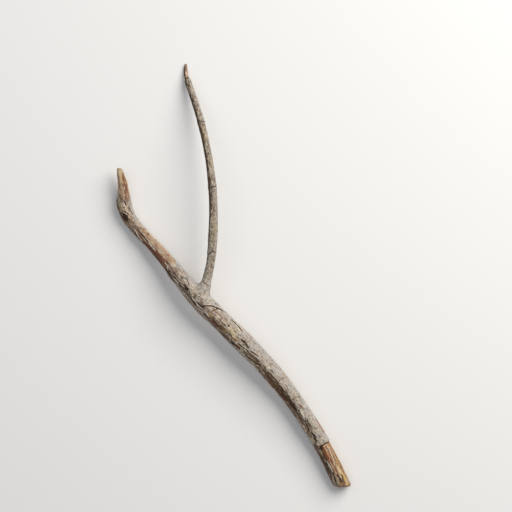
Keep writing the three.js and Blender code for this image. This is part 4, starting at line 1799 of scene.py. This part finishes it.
# The bare stub.
STUB_MARKS: tuple[Mark, ...] = (
    Trace(((489, 56), (477, 62)), 0.9, -0.35, Tint.SOOT),
    Hole(480.3, 102, 1.3, 0.9),
    Stain(Tint.PALE_AND_HIGHLIGHT, 470, 78, 14, 3, 0.5),
    Stain(Tint.RUDDY, 471, 60, 22, 7, 0.75),
    Stain(Tint.PALE_AND_HIGHLIGHT, 478, 112, 22, 4, 0.45),
    Stain(Tint.RUST, 480, 55, 34, 7, 0.6),
    Stain(Tint.HONEY, 484, 100, 22, 3.5, 0.7),
    Stain(Tint.PALE_AND_HIGHLIGHT, 494, 78, 9, 7, 0.5),
    Stain(Tint.HONEY, 495, 90, 8, 6, 0.9),
)
LEADER_MARKS = (
    *BUTT_MARKS, *LOWER_STEM_MARKS, *BELOW_FORK_MARKS, *FORK_MARKS, *STRIP_MARKS, *KNUCKLE_MARKS, *STUB_MARKS,
)
TWIG_MARKS: tuple[Mark, ...] = (
    Trace(((22, 128), (19.5, 76), (18, 20)), 0.9, -0.35),
    Trace(((57, 140), (60, 112), (63, 80), (61, 40), (61, 0)), 1.5, -0.7, wander=0.6),
    Trace(((139, 118), (143, 90), (141, 64), (143.5, 20)), 1.1, -0.6, wander=0.6),
    Trace(((226, 138), (227, 100), (225, 64), (226, 10)), 1.0, -0.5, wander=0.8),
    Hole(34.5, 100, 1.4, 0.5),
    Stain(Tint.SOOT, 14, 18, 34, 5, 0.4),
    Stain(Tint.SOOT, 40, 164, 60, 5, 0.5),
    Stain(Tint.RUDDY, 40, 70, 44, 7, 0.3),
    Stain(Tint.PALE_AND_HIGHLIGHT, 42, 82, 44, 8, 0.35),
    Stain(Tint.HONEY, 88, 84, 38, 7, 0.4),
    Stain(Tint.SOOT, 100, 160, 110, 5, 0.6),
    Stain(Tint.RUDDY, 128, 84, 40, 6, 0.35),
    Stain(Tint.HONEY, 178, 62, 30, 3, 0.3),
    Stain(Tint.SOOT, 206, 150, 190, 8, 0.75),
    Stain(Tint.HONEY, 210, 78, 26, 4, 0.4),
    Stain(Tint.RUDDY, 250, 100, 40, 4, 0.35),
    Stain(Tint.HONEY, 288, 104, 5, 4, 0.9),
    Stain(Tint.PALE_AND_HIGHLIGHT, 294, 73, 6, 2.5, 0.8),
    Stain(Tint.SOOT, 296, 142, 24, 4, 0.9),
    Stain(Tint.RUDDY, 306, 90, 20, 5, 0.45),
    Flecks(Tint.RUDDY, (34, 50), (284, 120), 52, 1.7, 0.5),
    Flecks(Tint.SOOT, (66, 40), (284, 125), 46, 1.5, 0.6, 0.1),
    Flecks(Tint.PALE_AND_HIGHLIGHT, (66, 30), (284, 120), 60, 1.6, 0.6, -0.08),
    Flecks(Tint.RUDDY, (70, 60), (284, 150), 40, 2.2, 0.5),
)
TWIG_COAT = TwigCoat(
    marks=TWIG_MARKS, wood_depth=0.5, inner_depth=0.2, bark_relief=0.75, wood_relief=0.6, weathering=0.85,
)
LEADER_COAT = LeaderCoat(marks=LEADER_MARKS)
SHARP_ANGLE = math.radians(62)


def dress(piece: bpy.types.Object, finish: Finish, node: str = "") -> None:
    """Give a piece its material, its body, and the solid that it stands for.

    Args:
        piece: The object.
        finish: Its finish.
        node: The solid that it replaces, or an empty string.
    """
    piece.data.set_sharp_from_angle(angle=SHARP_ANGLE)
    piece.data.materials.clear()
    piece.data.materials.append(bpy.data.materials.get(finish.name) or finish.material())
    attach(piece, "root")
    if node:
        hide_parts(node)
    LOG.info("%s: %d faces", piece.name, len(piece.data.polygons))


@dataclass
class Stem:
    """The main stem from its cut butt to just past the fork, with the collar that the twig grows from."""

    sides: int = 136
    spacing: float = 0.52
    worn_edge: float = 4.4
    butt_slant: float = -0.46
    butt_ring_width: float = 1.7
    butt_checks: tuple[Place, ...] = ((72, 9.0), (200, 6.5), (318, 7.5), (128, 4.5))
    collar_sides: int = 76
    collar_spacing: float = 0.42
    collar_start: float = 4.0

    def build(self) -> bpy.types.Object:
        """Make the stem and join its collar on.

        Returns:
            The dressed stem.
        """
        rings = round_end(LEADER, self.worn_edge, self.spacing, from_start=True)
        rings += even_rings(self.worn_edge, FORK_CUT, self.spacing)
        grid = SkinGrid(
            LEADER, LEADER_COAT, rings, self.sides, FORK, FORK_CUT,
            slant=self.butt_slant, ring_width=self.butt_ring_width, checks=self.butt_checks,
        )
        stem = grid.mesh("stem")
        rings = even_rings(self.collar_start, TWIG_CUT, self.collar_spacing)
        collar = SkinGrid(TWIG, TWIG_COAT, rings, self.collar_sides, FORK, TWIG_CUT).mesh("collar")
        self._join(stem, collar)
        dress(stem, STEM_FINISH, "main_stem")
        return stem

    def _join(self, stem: bpy.types.Object, collar: bpy.types.Object) -> None:
        """Join the collar to the stem as one closed skin.

        Args:
            stem: The stem, whose mesh becomes the joined one.
            collar: The collar, which is removed.
        """
        joiner = stem.modifiers.new("join", "BOOLEAN")
        joiner.operation = "UNION"
        joiner.solver = "MANIFOLD"
        joiner.object = collar
        joined = bpy.data.meshes.new_from_object(stem.evaluated_get(bpy.context.evaluated_depsgraph_get()))
        repaint(joined, [stem.data, collar.data])
        stem.modifiers.clear()
        stem.data = joined
        bpy.data.objects.remove(collar)


@dataclass
class UpperLimb:
    """The leader past the fork, over the knuckle to the snapped stub."""

    sides: int = 136
    spacing: float = 0.42
    worn_edge: float = 1.5
    tip_slant: float = -0.3

    def build(self) -> bpy.types.Object:
        """Make the limb.

        Returns:
            The dressed limb.
        """
        rings = even_rings(FORK_CUT, LEADER.length - self.worn_edge, self.spacing)
        rings += round_end(LEADER, self.worn_edge, self.spacing, from_start=False)
        grid = SkinGrid(LEADER, LEADER_COAT, rings, self.sides, FORK, FORK_CUT, tip_slant=self.tip_slant)
        limb = grid.mesh("limb")
        dress(limb, LIMB_FINISH, "upper_limb")
        return limb


@dataclass
class SideTwig:
    """The thin side twig, from the collar to its bare tip on the ground."""

    sides: int = 76
    spacing: float = 0.45
    worn_edge: float = 0.9

    def build(self) -> bpy.types.Object:
        """Make the twig.

        Returns:
            The dressed twig.
        """
        rings = even_rings(TWIG_CUT, TWIG.length - self.worn_edge, self.spacing)
        rings += round_end(TWIG, self.worn_edge, self.spacing, from_start=False)
        twig = SkinGrid(TWIG, TWIG_COAT, rings, self.sides, FORK, TWIG_CUT).mesh("twig")
        dress(twig, TWIG_FINISH, "side_twig")
        return twig


@dataclass
class BarkFlakes:
    """Loose slivers and curls of bark that still cling beside the bare places."""

    curls: tuple[Sliver, ...] = (
        Sliver(((417, 117), (409, 136), (400, 146)), 1.7, 0.9),
        Sliver(((361, 112), (355, 110), (351, 128)), 1.8, 0.9),
        Sliver(((282, 116), (278, 121), (274, 127)), 1.9, 1.0),
        Sliver(((299, 118), (294, 122), (289, 120)), 1.8, 0.9),
        Sliver(((308, 108), (303, 116), (297, 119)), 1.6, 0.8),
        Sliver(((315, 92), (310, 100), (305, 104)), 1.5, 0.8),
        Sliver(((226, 108), (219, 106), (212, 103)), 1.6, 0.8),
        Sliver(((207, 101), (201, 96), (195, 94)), 1.5, 0.7),
        Sliver(((112, 96), (105, 99), (96, 105)), 1.7, 0.8),
        Sliver(((456, 104), (449, 92), (443, 86)), 2.0, 0.8),
        Sliver(((39, 116), (31, 112), (22, 113)), 1.7, 0.7),
        Sliver(((394, 106), (387, 110), (379, 108)), 1.6, 0.8),
    )

    def build(self) -> bpy.types.Object:
        """Make the flakes as one piece.

        Returns:
            The dressed flakes.
        """
        made = [self._flake(curl, number) for number, curl in enumerate(self.curls)]
        with bpy.context.temp_override(active_object=made[0], selected_editable_objects=made):
            bpy.ops.object.join()
        flakes = made[0]
        flakes.name = "bark_flakes"
        dress(flakes, STEM_FINISH)
        return flakes

    def _flake(self, curl: Sliver, number: int) -> bpy.types.Object:
        """Make one sliver of whole bark, pale and ruddy in patches.

        Args:
            curl: The sliver.
            number: Its number, which picks how its edges wander.

        Returns:
            The sliver's object, painted but without a material.
        """
        rings = curl.rings(LEADER, number)
        count = rings.shape[0] * rings.shape[1]
        none, whole = np.zeros(count), np.ones(count)
        skin = Skin(none, none, whole, rings.reshape(-1, 3), whole)
        layers = Layers(none, whole, none, {tint: none for tint in Tint})
        layers.tint(Tint.PALE_AND_HIGHLIGHT, 0.45 + 0.45 * RAGGED.smooth(skin.place / 1.3))
        layers.tint(Tint.RUDDY, 0.25 - 0.5 * RAGGED.smooth(skin.place / 2.1 + 9))
        flake = closed_mesh(f"flake{number}", rings)
        paint(flake, skin, layers)
        return flake


@dataclass
class Studio:
    """A pale floor, soft light from the upper right, and a camera that looks straight down."""

    # The width of the camera's view at the branch, and the camera's height over it.
    field: float = 640.0
    height: float = 5000.0
    sensor: float = 36.0
    # The middle of the view, and the level that the view's width is measured at.
    middle: tuple[float, float] = (28.1, 24.1)
    level: float = 10.0
    floor_size: float = 6000.0

    def camera(self) -> None:
        """Hang the camera over the branch, so that a pixel of a 512-pixel picture is 1.25 mm."""
        lens = bpy.data.cameras.new("camera")
        lens.sensor_width = self.sensor
        lens.lens = self.sensor * self.height / self.field
        lens.clip_end = 20
        eye = bpy.data.objects.new("camera", lens)
        eye.location = Vector((*self.middle, self.level + self.height)) * METRES
        bpy.context.scene.collection.objects.link(eye)
        bpy.context.scene.camera = eye

    def floor(self) -> None:
        """Lay the floor."""
        half = self.floor_size * METRES / 2
        corners = [(-half, -half, 0), (half, -half, 0), (half, half, 0), (-half, half, 0)]
        mesh = bpy.data.meshes.new("floor")
        mesh.from_pydata(corners, [], [(0, 1, 2, 3)])
        floor = bpy.data.objects.new("floor", mesh)
        bpy.context.scene.collection.objects.link(floor)
        material = bpy.data.materials.new("floor")
        material.use_nodes = True
        shader = material.node_tree.nodes["Principled BSDF"]
        shader.inputs["Base Color"].default_value = paint_of("f4f4f2")
        shader.inputs["Roughness"].default_value = 0.9
        mesh.materials.append(material)

    def light(self) -> None:
        """Light the branch from the upper right, with a soft sky."""
        self._lamp("key", (1.35, 1.2, 1.6), 1.9, 58, "fffaf4")
        self._lamp("fill", (-0.9, 0.3, 2.2), 2.0, 8, "f0f4ff")
        world = bpy.data.worlds.new("sky")
        world.use_nodes = True
        sky = world.node_tree.nodes["Background"]
        sky.inputs["Color"].default_value = paint_of("f5f7fb")
        sky.inputs["Strength"].default_value = 0.3
        bpy.context.scene.world = world
        bpy.context.scene.view_settings.view_transform = "Standard"

    def _lamp(
        self, name: str, place: tuple[float, float, float], size: float, power: float, code: str
    ) -> None:
        """Hang one soft square lamp that faces the branch.

        Args:
            name: The lamp's name.
            place: Where it hangs, in metres.
            size: Its width, in metres.
            power: Its power, in watts.
            code: Its colour, as seen on a screen.
        """
        lamp = bpy.data.lights.new(name, "AREA")
        lamp.size = size
        lamp.energy = power
        lamp.color = paint_of(code)[:3]
        hung = bpy.data.objects.new(name, lamp)
        hung.location = place
        hung.rotation_mode = "QUATERNION"
        hung.rotation_quaternion = (-Vector(place)).to_track_quat("-Z", "Y")
        bpy.context.scene.collection.objects.link(hung)


def main() -> None:
    """Build the scene in order and report each piece."""
    logging.basicConfig(level=logging.INFO, format="%(message)s")
    studio = Studio()
    studio.camera()
    studio.floor()
    studio.light()
    for make in (bark_mottle_group, wood_grain_group, ragged_mask_group, weathering_group):
        LOG.info("group %s", make().name)
    Stem().build()
    UpperLimb().build()
    SideTwig().build()
    BarkFlakes().build()


if __name__ == "__main__":
    main()
